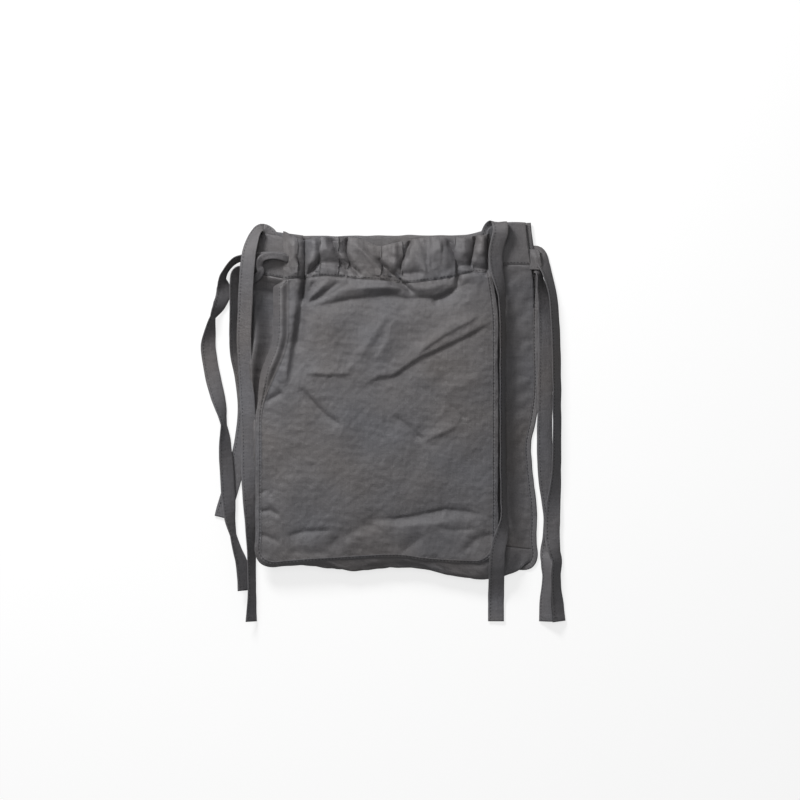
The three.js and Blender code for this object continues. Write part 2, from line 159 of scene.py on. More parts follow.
# How the edges of the front and back really run, across the bag.
front_foot_shift = flowing(
    (-150, -4), (-110, -4), (-92, -2.5), (-66, -1), (-40, 0.6), (7, 1.6), (24, -1), (60, -3.6),
    (95, -4.4), (115, -4),
)
stitch_line = flowing(
    (-118, 120), (-88, 122.5), (-68, 123.6), (-53, 122), (-28, 120), (-13, 119), (2, 116.6), (17, 117),
    (32, 119), (52, 122), (67, 126), (92, 127.5),
)
top_line = flowing(
    (-118, 169.5), (-112, 168), (-104, 163.5), (-97, 160.2), (-90, 160.2), (-80, 163), (-60, 163.4),
    (-36, 160.5), (-18, 153.6), (-6, 156.4), (17, 160.6), (30, 162.8), (72, 163), (82, 164.6), (93, 166),
)
base_line = flowing(
    (-130, -160), (-110, -161.5), (-93, -163.5), (-70, -166.5), (-43, -169.4), (-25, -168.2),
    (-8, -166.4), (10, -167.2), (32, -170.5), (50, -175), (62, -177.4), (80, -178.4), (92, -178.2),
    (107, -175), (122, -172.5), (136, -174),
)
right_edge_shift = flowing(
    (-178, -3), (-145, -3.5), (-105, -3.5), (-85, -6), (-65, -8), (-45, -9), (-20, -4), (0, -1), (60, -1),
    (125, -2), (150, -6.5), (180, -9.5),
)

# Folds of the front, each with the points of its line, its height, and its reach to its left and right.
# The long slanting fold across the middle, the finer ones beside it, and the short ones round them.
MIDDLE_FOLDS = [
    (
        [(-46, 13), (-38, 14), (-26, 21), (-18, 25), (-5, 26), (6, 34), (17, 42), (32, 49), (62, 63),
         (104, 85)],
        2, 11, 1.9,
    ),
    ([(-40, 10), (-26, 17), (-4, 22), (8, 30), (34, 45), (64, 59), (100, 80)], -1.2, 2, 6),
    ([(15, 43), (33, 57), (47, 66), (58, 72), (84, 86)], 2, 8, 1.6),
    ([(-94, 27), (-68, 26), (-42, 27)], 2, 6, 1.5),
    ([(-101, 15), (-90, 3), (-76, -12), (-52, -29)], -2.9, 2.2, 3.6),
    ([(-6, -14), (12, -28), (26, -43)], -2.5, 2.2, 3.5),
    ([(24, -42), (42, -33), (60, -25)], 1.9, 6, 2.4),
    ([(48, -1), (60, -12), (70, -21)], -1.5, 1.6, 2.4),
    ([(14, 18), (34, 6), (52, -6)], -1.2, 2.5, 4),
    ([(-42, 37), (-26, 62), (-8, 90)], 1.9, 6, 5),
    ([(-24, 36), (-10, 60), (-2, 86)], 1.5, 4, 7),
    ([(-64, 57), (-54, 46), (-46, 34)], -1.4, 4, 4),
    ([(4, 90), (18, 70), (25, 57)], 1.4, 2.5, 2.5),
    ([(40, 12), (66, 16), (92, 26)], 1, 8, 5),
]
# The slack above the base, and the puckers at the foot of the left seam.
BASE_FOLDS = [
    (
        [(-40, -115), (-23, -119), (-3, -119.5), (22, -115.5), (47, -110), (72, -112.5), (92, -119)],
        -2.4, 14, 10,
    ),
    ([(-23, -118), (-3, -118.5), (22, -114.5), (47, -109), (72, -111.5), (90, -117)], -1.7, 1.3, 7),
    ([(-30, -124), (0, -127), (30, -124), (60, -122)], 2, 4, 9),
    ([(-76, -153), (-58, -138), (-36, -127), (-12, -120)], -2.4, 8, 10),
    ([(-56, -150), (-40, -137), (-20, -131)], 1.5, 5, 8),
    ([(2, -154), (14, -143), (26, -135)], -2.2, 5, 7),
    ([(64, -153), (80, -138), (98, -135)], -2.2, 4, 7),
    ([(36, -127), (56, -130), (84, -128)], -1.4, 3, 3),
    ([(-114, -137), (-93, -131), (-66, -131)], -2, 2.2, 5),
    ([(-112, -152), (-90, -153), (-66, -151)], -1.5, 4, 4),
    ([(-140, -112), (-128, -110), (-117, -116)], -2.2, 2.5, 2.2),
    ([(-140, -93), (-131, -91), (-124, -95)], -1.5, 2.2, 2),
    ([(-139, -132), (-126, -139), (-116, -143)], -1.5, 2.5, 2.5),
]
# The hollow under the gathered hem, and the slack roll over it.
MOUTH_FOLDS = [
    (
        [(-99, 84), (-86, 92), (-68, 96), (-48, 100), (-23, 103), (-8, 105.5), (7, 101), (20, 102),
         (38, 101), (52, 107), (62, 113), (70, 116), (80, 114), (93, 123)],
        -3.4, 2.6, 9,
    ),
    ([(-84, 106), (-50, 110), (-10, 113), (30, 111), (60, 119)], 2.7, 6, 4),
    ([(32, 97), (48, 104), (58, 111)], -2.7, 2.2, 4),
]
# The pleat that stands up beside the left seam, and the valley at its foot.
PLEAT_FOLDS = [
    ([(-101, 106), (-103, 92), (-106, 66), (-110, 40), (-114, 9)], 3.6, 2.4, 13),
    ([(-94, 118), (-95, 100), (-98, 76), (-102, 46)], -4.6, 5, 4),
    ([(-96, 100), (-101, 58), (-106, 16)], -2.4, 9, 7),
    ([(-134, -3), (-123, 2.5), (-114, 9)], -2.7, 3, 2),
]
# Rays of the gather, out of the valley at the left.
GATHER_RAYS = [
    ([(-95, 97), (-88, 110), (-82, 120)], -2.2, 2.2, 2.4),
    ([(-94, 96), (-80, 109), (-68, 120)], 2.2, 2.6, 2.6),
    ([(-93, 95), (-73, 107), (-56, 119)], -2.9, 2.6, 2.6),
    ([(-90, 95), (-63, 108), (-44, 119)], -1.9, 2.6, 3),
]
# The gathers of the hem.
HEM_FOLDS = [
    ([(-93, 167), (-92.5, 150), (-92, 128), (-94, 112), (-97, 92)], -10.6, 1.8, 2.4),
    ([(-104, 164), (-102, 142), (-100, 118)], 3.9, 3.4, 4.2),
    ([(-84, 166), (-83, 147), (-88, 130)], 4.6, 3.8, 3.4),
    ([(-103, 146), (-97, 132), (-92, 120)], -6.2, 1.2, 1.6),
    ([(-76, 146), (-84, 132), (-91, 121)], -6.2, 1.6, 1.3),
    ([(-71, 165), (-61, 147), (-53, 131), (-46, 122)], -6, 1.8, 2.6),
    ([(-61, 166), (-58, 148), (-50, 134)], 3.2, 2.5, 2),
    ([(-51, 166), (-52, 147), (-45, 132), (-34, 122)], -7.5, 1.6, 2.7),
    ([(-48, 160), (-30, 144), (-14, 122), (-8, 112)], 4.6, 2.7, 3.7),
    ([(-25, 144), (-17, 136), (-5, 125), (5, 116), (20, 103)], -8.2, 2.2, 3.2),
    ([(-4, 160), (-3.5, 146), (-3.5, 128)], 3, 2.5, 2.5),
    ([(15, 163), (8, 146), (0, 127)], -5.8, 1.9, 2.2),
    ([(20, 165), (23, 143), (27, 122)], 2.3, 4.2, 5.1),
    ([(46, 164), (55, 147), (60, 137), (61, 124), (59, 108)], -5.5, 1.8, 2.6),
    ([(40, 160), (46, 146), (50, 130)], 2.1, 4.2, 3.4),
    ([(79, 167), (75, 148), (70, 131)], -7, 1.8, 2.2),
    ([(66, 164), (66, 142)], 3, 3.4, 3.4),
    ([(84, 166), (82, 142)], 3, 2.5, 2.5),
    ([(92, 170), (89, 146), (89, 122)], -6.2, 1.9, 1.9),
    ([(-82, 137), (-64, 136), (-50, 129)], -3.8, 4, 2.1),
    ([(-1, 127), (12, 125), (27, 128)], -4.2, 4, 2.1),
    ([(58, 135), (76, 132), (92, 130)], -4.8, 4, 1.9),
    ([(-78, 150), (-64, 150)], 2.3, 6, 5.1),
    ([(28, 149), (46, 149)], 1.8, 7.6, 6.8),
    ([(-40, 113), (-16, 112), (4, 110)], 1.8, 3.4, 2.5),
]
FRONT_FOLDS = MIDDLE_FOLDS + BASE_FOLDS + MOUTH_FOLDS + PLEAT_FOLDS + GATHER_RAYS


def fold_relief(x, y, chosen):
    """Height of a set of folds: crisp along each line, dying away at its two ends."""
    crest = 0.7
    total = np.zeros(x.shape)
    for points, height, left, right in chosen:
        line = np.array(points, float)
        spans = np.hypot(*(line[1:] - line[:-1]).T)
        place = np.concatenate([[0], np.cumsum(spans)]) / spans.sum()
        near = np.full(x.shape, np.inf)
        side = np.zeros(x.shape)
        along = np.zeros(x.shape)
        for k, (start, step) in enumerate(zip(line[:-1], line[1:] - line[:-1])):
            share = np.clip(((x - start[0]) * step[0] + (y - start[1]) * step[1]) / spans[k] ** 2, 0, 1)
            dx = x - start[0] - share * step[0]
            dy = y - start[1] - share * step[1]
            distance = np.hypot(dx, dy)
            closer = distance < near
            near = np.where(closer, distance, near)
            side = np.where(closer, step[0] * dy - step[1] * dx, side)
            along = np.where(closer, place[k] + share * (place[k + 1] - place[k]), along)
        reach = np.where(side >= 0, left, right)
        fall = np.exp(-((np.sqrt(near ** 2 + crest ** 2) - crest) / reach) ** 1.35)
        total += height * fall * smooth(0, 0.22, along) * smooth(0, 0.22, 1 - along)
    return total


def front_relief(x, y):
    """Folds, gathers and the puckered stitch line of the front, over its smooth lie."""
    pucker = 0.7 + 0.5 * np.sin(x / 1.7 + 2.5 * np.sin(x / 7))
    stitched = -1.0 * pucker * hump(y - stitch_line(x), 1.9) * smooth(-112, -106, x)
    crumple = np.abs(ripples(x, y, 11, 9, 46, 16, 1.0))
    return (
        fold_relief(x, y, FRONT_FOLDS)
        + fold_relief(x, y, HEM_FOLDS)
        + stitched
        - 0.65 * crumple
        + smooth(116, 128, y) * ripples(x + 0.3 * y, 0.25 * y, 17, 12, 15, 5, 0.6)
        + ripples(x, y, 5, 14, 70, 18, 0.7)
        + ripples(x, y, 8, 16, 14, 5, 0.26)
    )


def paired(first, second):
    return np.broadcast_arrays(np.asarray(first, float), np.asarray(second, float))


def drawn_in(across, share):
    """The x and smooth height of a place on the front, drawn in by the gather: lower down on the left."""
    side = across / HALF_WIDTH
    left = smooth(0.45, 0.72, share)
    right = smooth(0.72, 0.95, share)
    gather = left + smooth(-1, 1, side) * (right - left)
    x = -SLIDE + across * (1 - gather * GATHER_WIDTH / PANEL_WIDTH) + gather * GATHER_SHIFT
    crown = (1 - side ** 4) * (1 - (2 * share - 1) ** 4)
    return x, FRONT_HEIGHT + FRONT_CROWN * crown


def front_place(across, up):
    """A point of the front panel, from the middle of its base edge."""
    across, up = paired(across, up)
    share = up / PANEL_HEIGHT
    x, height = drawn_in(across, share)
    rise = np.maximum(0, -across / HALF_WIDTH) ** 4 * share ** 6 * LEFT_CORNER_RISE
    casing_y = FRONT_FOOT + CASING_FOOT / PANEL_HEIGHT * (PANEL_HEIGHT - TAKEN_UP)
    y = FRONT_FOOT + share * (PANEL_HEIGHT - TAKEN_UP) + rise * (1 - smooth(240, CASING_FOOT, up))
    y = y + front_foot_shift(x) * (1 - smooth(0, 75, up))
    y = y + (stitch_line(x) - casing_y) * smooth(200, CASING_FOOT, up)
    # The left base corner is squarer than the cut round.
    square = smooth(-88, -116, across) * (1 - smooth(4, 34, up))
    x, y = x - 3.4 * square, y - 3.0 * square
    return np.stack([x, y, height + front_relief(x, y)], -1)


def hem_place(across, share):
    """A point of the front hem's middle layer, from its stitch line (0) to its top edge (1)."""
    across, share = paired(across, share)
    x, height = drawn_in(across, (CASING_FOOT + share * CASING_HEIGHT) / PANEL_HEIGHT)
    y = stitch_line(x) + share * (top_line(x) - stitch_line(x))
    return np.stack([x, y, height + front_relief(x, y)], -1)


def back_place(across, up, height=0.35):
    """A point of the back panel, which lies flat, with waves along two edges and a raised corner."""
    across, up = paired(across, up)
    x = SLIDE + across
    lift = base_line(x) + 3 - BACK_FOOT
    y = BACK_FOOT + up + lift * (1 - smooth(0, 60, up)) + 13 * smooth(40, 100, across) * smooth(190, 305, up)
    x = x + right_edge_shift(y) * smooth(50, 121, across)
    # The right base corner is squarer than the cut round.
    square = smooth(88, 116, across) * (1 - smooth(4, 34, up))
    x, y = x + 3.6 * square, y - 3.6 * square * smooth(86, 104, across)
    return np.stack([x, y, np.full(x.shape, float(height))], -1)


def panel_grid(corner_rows, rows, columns):
    """Places over a panel with rounded base corners, up to its hem and a little under its pinched edge."""
    radius = CORNER_RADIUS - (EDGE_WIDTH - EDGE_OVERLAP)
    turn = np.linspace(0, math.pi / 2, corner_rows + 1)[:-1]
    straight = np.linspace(CORNER_RADIUS, CASING_FOOT, rows + 1)
    up = np.concatenate([CORNER_RADIUS - radius * np.cos(turn), straight])[:, None]
    drop = np.maximum(0, CORNER_RADIUS - up)
    half = HALF_WIDTH - CORNER_RADIUS + np.sqrt(np.maximum(0, radius ** 2 - drop ** 2))
    return np.linspace(-1, 1, columns) * half, up


def gusset_place(out_x, out_y, foot_x, foot_y, share):
    """A point of the gusset strip, from the back seam (0) to the front seam (1)."""
    seam_x = foot_x - out_x * EDGE_WIDTH
    seam_y = foot_y - out_y * EDGE_WIDTH
    at_mouth = smooth(256, CASING_FOOT, foot_y)
    start = back_place(seam_x, seam_y)
    start[..., 2] = 1.5 + 4.2 * at_mouth
    lower = np.minimum(seam_y, CASING_FOOT)
    end = front_place(seam_x, lower)
    end[..., 1] += (foot_y > CASING_FOOT) * (seam_y - lower) * 0.96
    end[..., 2] -= 1.4 + 0.8 * at_mouth
    # The strip swells out between its seams, most at the left, below the gather.
    leftward = np.maximum(0, -out_x) ** 2
    rightward = np.maximum(0, out_x) ** 2
    downward = np.maximum(0, -out_y) ** 2
    height = foot_y / PANEL_HEIGHT
    gather = smooth(0.45, 0.72, height)
    bulge = smooth(0.48, 0.64, height) - 0.2 * smooth(0.74, 0.86, height)
    belly = smooth(0.18, 0.34, height) - smooth(0.5, 0.68, height)
    swell = leftward * (26 + 30 * gather + 38 * bulge + 20 * belly) - 16 * rightward + 11 * downward
    middle = (start + end) / 2
    middle[..., 0] += out_x * swell
    middle[..., 1] += out_y * swell
    # Along the base its lowest part follows the bag's base line.
    low = LOWEST_SHARE
    drawn = base_line(middle[..., 0]) - (1 - low) ** 2 * start[..., 1] - low ** 2 * end[..., 1]
    drawn = drawn / (2 * low * (1 - low))
    middle[..., 1] += downward * (drawn - middle[..., 1])
    middle[..., 2] = start[..., 2] + 3 + 8 * downward
    t = np.asarray(share)[..., None]
    point = (1 - t) ** 2 * start + 2 * t * (1 - t) * middle + t ** 2 * end
    # Between the left tie and the front it sinks into a hollow, with a fold beside the tie.
    hollow = leftward * (smooth(0.34, 0.5, height) - smooth(0.82, 0.88, height))
    sunk = start[..., 2:] + 0.8 + (end[..., 2:] - start[..., 2:] - 0.8) * t ** 36
    beside_tie = 10 * (smooth(0.46, 0.56, height) - smooth(0.72, 0.82, height))
    sunk = sunk + np.asarray(beside_tie)[..., None] * hump(t - 0.74, 0.1)
    point[..., 2:] += np.asarray(hollow)[..., None] * (sunk - point[..., 2:])
    rise = np.where(out_x < 0, 7.0, 3.5)
    point[..., 1] += rise * 4 * share * (1 - share) * smooth(0, PANEL_HEIGHT, foot_y) * np.abs(out_x)
    return point


def side_casing(sign, share, height):
    """A point of the left (-1) or right (1) gusset's hem, from its foot (0) to its top edge (1)."""
    share, height = paired(share, height)
    flat = np.zeros(share.shape)
    up = CASING_FOOT + height * CASING_HEIGHT
    return gusset_place(flat + sign, flat, flat + sign * HALF_WIDTH, up, share)


class Shell:
    """Faces of one piece, gathered from sheets, tubes and stitches before its mesh is made."""

    def __init__(self):
        self.points, self.faces, self.uvs, self.slots, self.soft, self.count = [], [], [], [], [], 0

    def add(self, points, faces, uvs, slot, cut):
        """Adds faces. The last ones, as many as cut says, are cut edges and keep their own shading."""
        points = np.asarray(points, float).reshape(-1, 3)
        a, b, c, d = (points[[f[i % len(f)] for f in faces]] for i in range(4))
        volume = (np.cross(a, b) * c).sum() + (np.cross(a, c) * d).sum()
        turn = -1 if volume < 0 else 1
        self.points.append(points)
        self.faces += [[i + self.count for i in face[::turn]] for face in faces]
        self.uvs += [uv[::turn] for uv in uvs]
        self.slots += [slot] * len(faces)
        self.soft += [True] * (len(faces) - cut) + [False] * cut
        self.count += len(points)

    def make(self, name, slot, *finishes):
        mesh = bpy.data.meshes.new(name)
        mesh.from_pydata((np.concatenate(self.points) * MM).tolist(), [], self.faces)
        layer = mesh.uv_layers.new(name="cloth")
        layer.data.foreach_set("uv", np.concatenate([np.ravel(uv) for uv in self.uvs]) * MM)
        for finish in finishes:
            mesh.materials.append(finish_of(finish))
        mesh.polygons.foreach_set("material_index", self.slots)
        mesh.polygons.foreach_set("use_smooth", self.soft)
        mesh.update()
        piece = bpy.data.objects.new(name, mesh)
        bpy.context.scene.collection.objects.link(piece)
        return piece


def lengths_along(points):
    steps = np.linalg.norm(np.diff(points, axis=0), axis=1)
    return np.concatenate([[0], np.cumsum(steps)])


def at_lengths(wanted, place, values):
    """Rows of values between those of a line, at wanted lengths along it."""
    return np.stack([np.interp(wanted, place, column) for column in values.T], -1)


def unit(vectors):
    return vectors / (np.linalg.norm(vectors, axis=-1, keepdims=True) + 1e-9)


def grid_normals(grid):
    return unit(np.cross(np.gradient(grid, axis=1), np.gradient(grid, axis=0)))


def add_sheet(shell, grid, thickness):
    """A grid of points thickened to both sides and closed round its border."""
    rows, columns = grid.shape[:2]
    half = grid_normals(grid) * thickness / 2
    points = np.concatenate([grid + half, grid - half])
    u = lengths_along(grid[rows // 2])
    v = lengths_along(grid[:, columns // 2])
    index = np.arange(rows * columns).reshape(rows, columns)
    under = rows * columns
    faces, uvs = [], []
    for r in range(rows - 1):
        for c in range(columns - 1):
            face = [index[r, c], index[r, c + 1], index[r + 1, c + 1], index[r + 1, c]]
            uv = [(u[c], v[r]), (u[c + 1], v[r]), (u[c + 1], v[r + 1]), (u[c], v[r + 1])]
            faces += [face, [i + under for i in face[::-1]]]
            uvs += [uv, uv[::-1]]
    border = [(0, c) for c in range(columns - 1)] + [(r, columns - 1) for r in range(rows - 1)]
    border += [(rows - 1, c) for c in range(columns - 1, 0, -1)] + [(r, 0) for r in range(rows - 1, 0, -1)]
    for (r, c), (r2, c2) in zip(border, border[1:] + border[:1]):
        a, b = index[r, c], index[r2, c2]
        faces.append([a, a + under, b + under, b])
        uvs.append([(u[c], v[r]), (u[c], v[r]), (u[c2], v[r2]), (u[c2], v[r2])])
    shell.add(points, faces, uvs, 0, len(border))


def add_tube(shell, loops, slot=0):
    """A closed tube through loops of points, with its two ends filled."""
    stations, count = loops.shape[:2]
    ring = np.concatenate([loops[stations // 2], loops[stations // 2, :1]])
    u = lengths_along(ring)
    v = lengths_along(loops.mean(axis=1))
    faces, uvs = [], []
    for s in range(stations - 1):
        for k in range(count):
            n = (k + 1) % count
            faces.append([s * count + k, (s + 1) * count + k, (s + 1) * count + n, s * count + n])
            uvs.append([(u[k], v[s]), (u[k], v[s + 1]), (u[k + 1], v[s + 1]), (u[k + 1], v[s])])
    for s, order in ((0, 1), (stations - 1, -1)):
        cap = [s * count + k for k in range(count)][::order]
        faces.append(cap)
        uvs.append([(u[i - s * count], v[s]) for i in cap])
    shell.add(loops, faces, uvs, slot, 2)


def add_stitches(shell, path, up, pitch, radius=0.38):
    """A row of single stitches along a path: each dips into the cloth at both of its ends."""
    up = np.broadcast_to(up, path.shape)
    place = lengths_along(path)
    starts = np.arange(pitch / 2, place[-1] - STITCH_LENGTH, pitch)
    turn = np.linspace(0, 2 * math.pi, 5, endpoint=False)[None, :, None]
    rows = []
    for share, lift, swell in ((0, -0.35, 0.5), (0.5, 0.11, 1.0), (1, -0.35, 0.5)):
        at = starts + share * STITCH_LENGTH
        normal = unit(at_lengths(at, place, up))
        ahead = at_lengths(at + 0.5, place, path) - at_lengths(at - 0.5, place, path)
        sideways = unit(np.cross(ahead, normal))
        centre = at_lengths(at, place, path) + normal * lift
        round_it = np.cos(turn) * normal[:, None] + np.sin(turn) * sideways[:, None]
        rows.append(centre[:, None] + radius * swell * round_it)
    for stitch in np.stack(rows, 1):
        add_tube(shell, stitch, 1)


def socket_maths(operation, swapped=False):
    """An operator of a Field: a maths node with the field first, or second where it is swapped."""

    def work(field, other=0.0):
        first, second = (other, field) if swapped else (field, other)
        return field.node("ShaderNodeMath", {0: first, 1: second}, operation=operation)

    return work


class Field:
    """A shader socket that is worked with as a plain number or vector."""

    __add__ = socket_maths("ADD")
    __radd__ = socket_maths("ADD", swapped=True)
    __sub__ = socket_maths("SUBTRACT")
    __rsub__ = socket_maths("SUBTRACT", swapped=True)
    __mul__ = socket_maths("MULTIPLY")
    __rmul__ = socket_maths("MULTIPLY", swapped=True)
    sine = socket_maths("SINE")
    size = socket_maths("ABSOLUTE")
    above = socket_maths("GREATER_THAN")
    larger = socket_maths("MAXIMUM")

    def __init__(self, tree, socket=None):
        self.tree = tree
        self.socket = socket

    def node(self, kind, inputs=None, output=0, **settings):
        made = self.tree.nodes.new(kind)
        for name, value in settings.items():
            setattr(made, name, value)
        for place, value in (inputs or {}).items():
            if isinstance(value, Field):
                value.to(made.inputs[place])
            else:
                made.inputs[place].default_value = value
        return Field(self.tree, made.outputs[output])

    def to(self, socket):
        self.tree.links.new(self.socket, socket)

    def mix(self, low, high):
        """A colour between low and high."""
        inputs = {0: self, 6: low, 7: high}
        return self.node("ShaderNodeMix", inputs, output=2, data_type="RGBA", clamp_factor=True)


def rgba(colour, share=1.0):
    return (*[channel * share for channel in colour], 1.0)


def cloth_shader(name):
    """A new material, the inputs of its shader, and the cloth's own u and v."""
    material = bpy.data.materials.new(name)
    material.use_nodes = True
    tree = material.node_tree
    cloth = Field(tree).node("ShaderNodeUVMap", uv_map="cloth")
    u = cloth.node("ShaderNodeSeparateXYZ", {0: cloth})
    v = Field(tree, u.socket.node.outputs[1])
    return material, tree.nodes["Principled BSDF"].inputs, u, v


def cotton(name, colour, pitch, roughness, sheen):
    """Plain-woven cotton: two sets of threads with slubs, soft mottling and a dull lustre."""
    material, inputs, u, v = cloth_shader(name)

    def noise(across, along, detail=2.0, rough=0.55):
        place = u.node("ShaderNodeCombineXYZ", {0: across, 1: along})
        return u.node("ShaderNodeTexNoise", {0: place, "Scale": 1.0, "Detail": detail, "Roughness": rough})

    wave = 2 * math.pi / pitch
    over = ((u * (wave / 2)).sine() * (v * (wave / 2)).sine()).above(0.0)
    threads = (u * wave).sine().size() * over + (v * wave).sine().size() * (1.0 - over)
    slub = noise(u * 1400.0, v * 55.0) * 0.55 + noise(u * 60.0, v * 1300.0) * 0.45
    streak = (noise(u * 330.0, v * 38.0) + noise(u * 44.0, v * 350.0)) * 0.5
    grain = noise(u * 800.0, v * 800.0)
    mottle = noise(u * 26.0, v * 26.0, 3.0)
    cloud = noise(u * 9.0 + 3.7, v * 11.0 + 1.3)
    crease = noise(u * 160.0, v * 160.0, 5.0, 0.6)

    red, green, blue = colour
    warm = (red * 1.06, green * 0.99, blue * 0.94)
    cool = (red * 0.95, green * 0.99, blue * 1.08)
    tint = (cloud * 1.8 - 0.4).mix(rgba(warm), rgba(cool))
    depth = 0.05 + slub * 0.5 + streak * 0.5 + grain * 0.5 + mottle * 0.3 + threads * 0.1
    shade = u.node("ShaderNodeCombineColor", {0: depth, 1: depth, 2: depth})
    tone = u.node(
        "ShaderNodeMix", {0: 1.0, 6: tint, 7: shade}, output=2, data_type="RGBA", blend_type="MULTIPLY"
    )
    tone.to(inputs["Base Color"])
    dull = roughness + (mottle - 0.5) * 0.25 - threads * 0.05
    dull.to(inputs["Roughness"])
    inputs["Specular IOR Level"].default_value = 0.5
    inputs["Sheen Weight"].default_value = sheen
    inputs["Sheen Roughness"].default_value = 0.45
    raised = threads * 0.5 + slub * 1.6
    weave = u.node("ShaderNodeBump", {"Strength": 0.5, "Distance": 0.00035, "Height": raised})
    worn = u.node("ShaderNodeBump", {"Strength": 0.6, "Distance": 0.0013, "Height": crease, "Normal": weave})
    worn.to(inputs["Normal"])
    return material


def thread_finish(name, colour):
    """Spun sewing thread, with its twist. Its colour is the thread's own grey taken down to near black:
    painted shade of the stitch holes.
    """
    material, inputs, u, v = cloth_shader(name)
    twist = ((u * 4200.0 + v * 7000.0).sine() + 1.0) * 0.5
    twist.mix(rgba(colour, 0.7), rgba(colour, 1.2)).to(inputs["Base Color"])
    inputs["Roughness"].default_value = 0.6
    u.node("ShaderNodeBump", {"Strength": 0.4, "Distance": 0.0001, "Height": twist}).to(inputs["Normal"])
    return material


def finish_of(name):
    """The cloth, tape or thread finish, made the first time that it is asked for."""
    if name in bpy.data.materials:
        return bpy.data.materials[name]
    look = bpy.context.scene.bag_cloth
    # The thread's colour carries painted shade of the stitch holes as well as the thread's own grey.
    if name == "bag_thread_and_hole_shade":
        return thread_finish(name, look.thread_colour_and_hole_shade)
    colour = look.colour if name == "bag_cotton" else bpy.context.scene.bag_tapes.colour
    return cotton(name, colour, look.weave_pitch, look.roughness, look.sheen)


def stitch_pitch():
    return bpy.context.scene.bag_cloth.stitch_pitch / MM


# Centrelines of the tapes in millimetres, each point as x, y, height and roll in degrees.
LEFT_TIE_END = [
    (-122, 140, 11.2, 0), (-123.4, 151, 11.5, 0), (-126, 159, 12.1, 0), (-129.4, 165.4, 12.8, -12),
    (-132.4, 169, 13.6, -36),
]
LEFT_TIE = [
    (-134.8, 170.6, 14.6, -50), (-137.4, 171, 16, -58), (-140.2, 169.6, 17.8, -58),
    (-143, 165.6, 20, -50), (-145.6, 158.6, 22.4, -40), (-148, 150, 24.4, -30), (-149.8, 138, 25, -20),
    (-151.6, 115, 22, -20), (-153, 90, 17.5, -22), (-154, 65, 13.5, -22), (-153.6, 45, 10.5, -22),
    (-152.2, 20, 7, -18), (-150.6, -10, 5.4, -12), (-149.6, -40, 3.8, 0), (-149.4, -70, 3.6, 9),
    (-148.8, -95, 5, 28), (-147.8, -120, 6.6, 45), (-147, -145, 7.8, 58), (-146.6, -170, 8.1, 62),
    (-146.4, -192, 8.1, 62), (-146.6, -207, 7.6, 56), (-147, -222, 7.2, 50),
]
RIGHT_TIE_END = [
    (88, 140, 5.6, 0), (88.5, 153, 5.6, 0), (90.5, 164.6, 6.4, 0), (94.6, 173.4, 8.8, 0),
    (98.4, 176.8, 12.35, 0),
]
RIGHT_TIE = [
    (99.8, 177.2, 13.6, 0), (101.8, 176, 17.2, 0), (102.6, 169.4, 19.8, 12), (99.6, 157.4, 20, 24),
    (97.4, 146, 19.8, 28), (98.2, 132, 19.6, 34), (101, 118, 19.2, 48), (103.6, 105, 18.8, 62),
    (104.4, 85, 18.7, 69), (104.5, 50, 18.7, 70), (104.5, 0, 18.7, 70), (104.6, -40, 18.7, 70),
    (105, -80, 18.7, 70), (105.8, -110, 19.4, 69), (105.8, -120, 20.8, 62), (105, -128, 22.8, 50),
    (103, -136, 24.8, 34), (100.6, -145, 25.2, 20), (99.2, -154, 24, 13), (98.7, -166, 20, 9),
    (98.5, -177, 13.8, 6), (98.4, -189, 6.8, 3), (98.3, -200, 2.6, 1), (98.3, -212, 1.6, 0),
    (98.3, -222, 1.5, 0),
]
LEFT_FRONT_LINK = [
    (-110, 143, 19.6, 0), (-116, 144, 21.6, 6), (-124, 144.6, 22.2, 10), (-132, 144.4, 21.6, 16),
    (-140, 143.8, 19, 24), (-146.4, 143.2, 15, 40), (-151.4, 142.8, 10.6, 60), (-156.4, 142.4, 8.6, 66),
    (-162, 140.4, 8.4, 68), (-167.6, 136, 8.4, 72), (-173, 129, 8.4, 74), (-176, 121, 8.2, 66),
]
LEFT_FRONT_TAIL = [
    (-175, 113, 7, 34), (-175.4, 105, 6.2, 26), (-179.4, 95, 7, 40), (-185.4, 83, 8.4, 74),
    (-188.2, 70, 7.3, 50), (-190.3, 56, 5.2, 25), (-189, 42, 4.2, 15), (-185.4, 22, 4.2, 15),
    (-180.4, 2, 5.6, 28), (-176, -16, 8.2, 62), (-174.6, -25, 8.4, 72), (-173.4, -40, 9, 48),
    (-172.4, -60, 8.2, 32), (-171, -80, 8, 28), (-169.8, -100, 8, 30), (-168.2, -120, 9, 52),
    (-165.2, -135, 8.4, 70), (-161, -150, 8.1, 60), (-157, -163, 7, 45), (-155.2, -177, 6.8, 42),
    (-154.4, -191, 6.8, 42),
]
LEFT_GUSSET_LINK = [
    (-110, 140.5, 21, 0), (-116, 142.6, 24.6, 6), (-123, 144, 26.2, 10), (-131, 143.6, 26.2, 16),
    (-137, 140.4, 24.6, 24), (-139, 134, 22, 30), (-137, 128.4, 20.4, 30), (-141.4, 122.8, 17, 30),
    (-148.6, 122.4, 11, 30), (-153.4, 125, 7, 34), (-158, 128.6, 6.4, 40), (-162, 126.6, 7, 50),
    (-164, 117, 7.6, 58), (-164.4, 105, 7.8, 60), (-164.4, 95, 7.8, 60),
]
LEFT_GUSSET_TAIL = [
    (-164.6, 80, 7.9, 62), (-164, 62, 7.4, 54), (-161.4, 46, 4.8, 30), (-157.6, 31, 2.4, 12),
    (-154.6, 15, 1.3, 4), (-153, -2, 1, 1), (-153.6, -20, 1, 0), (-156.4, -42, 1, 0), (-161.4, -66, 1, 0),
    (-168.2, -90, 1.1, 0), (-174.4, -110, 1.2, 0), (-176.4, -118, 1.2, 0),
]
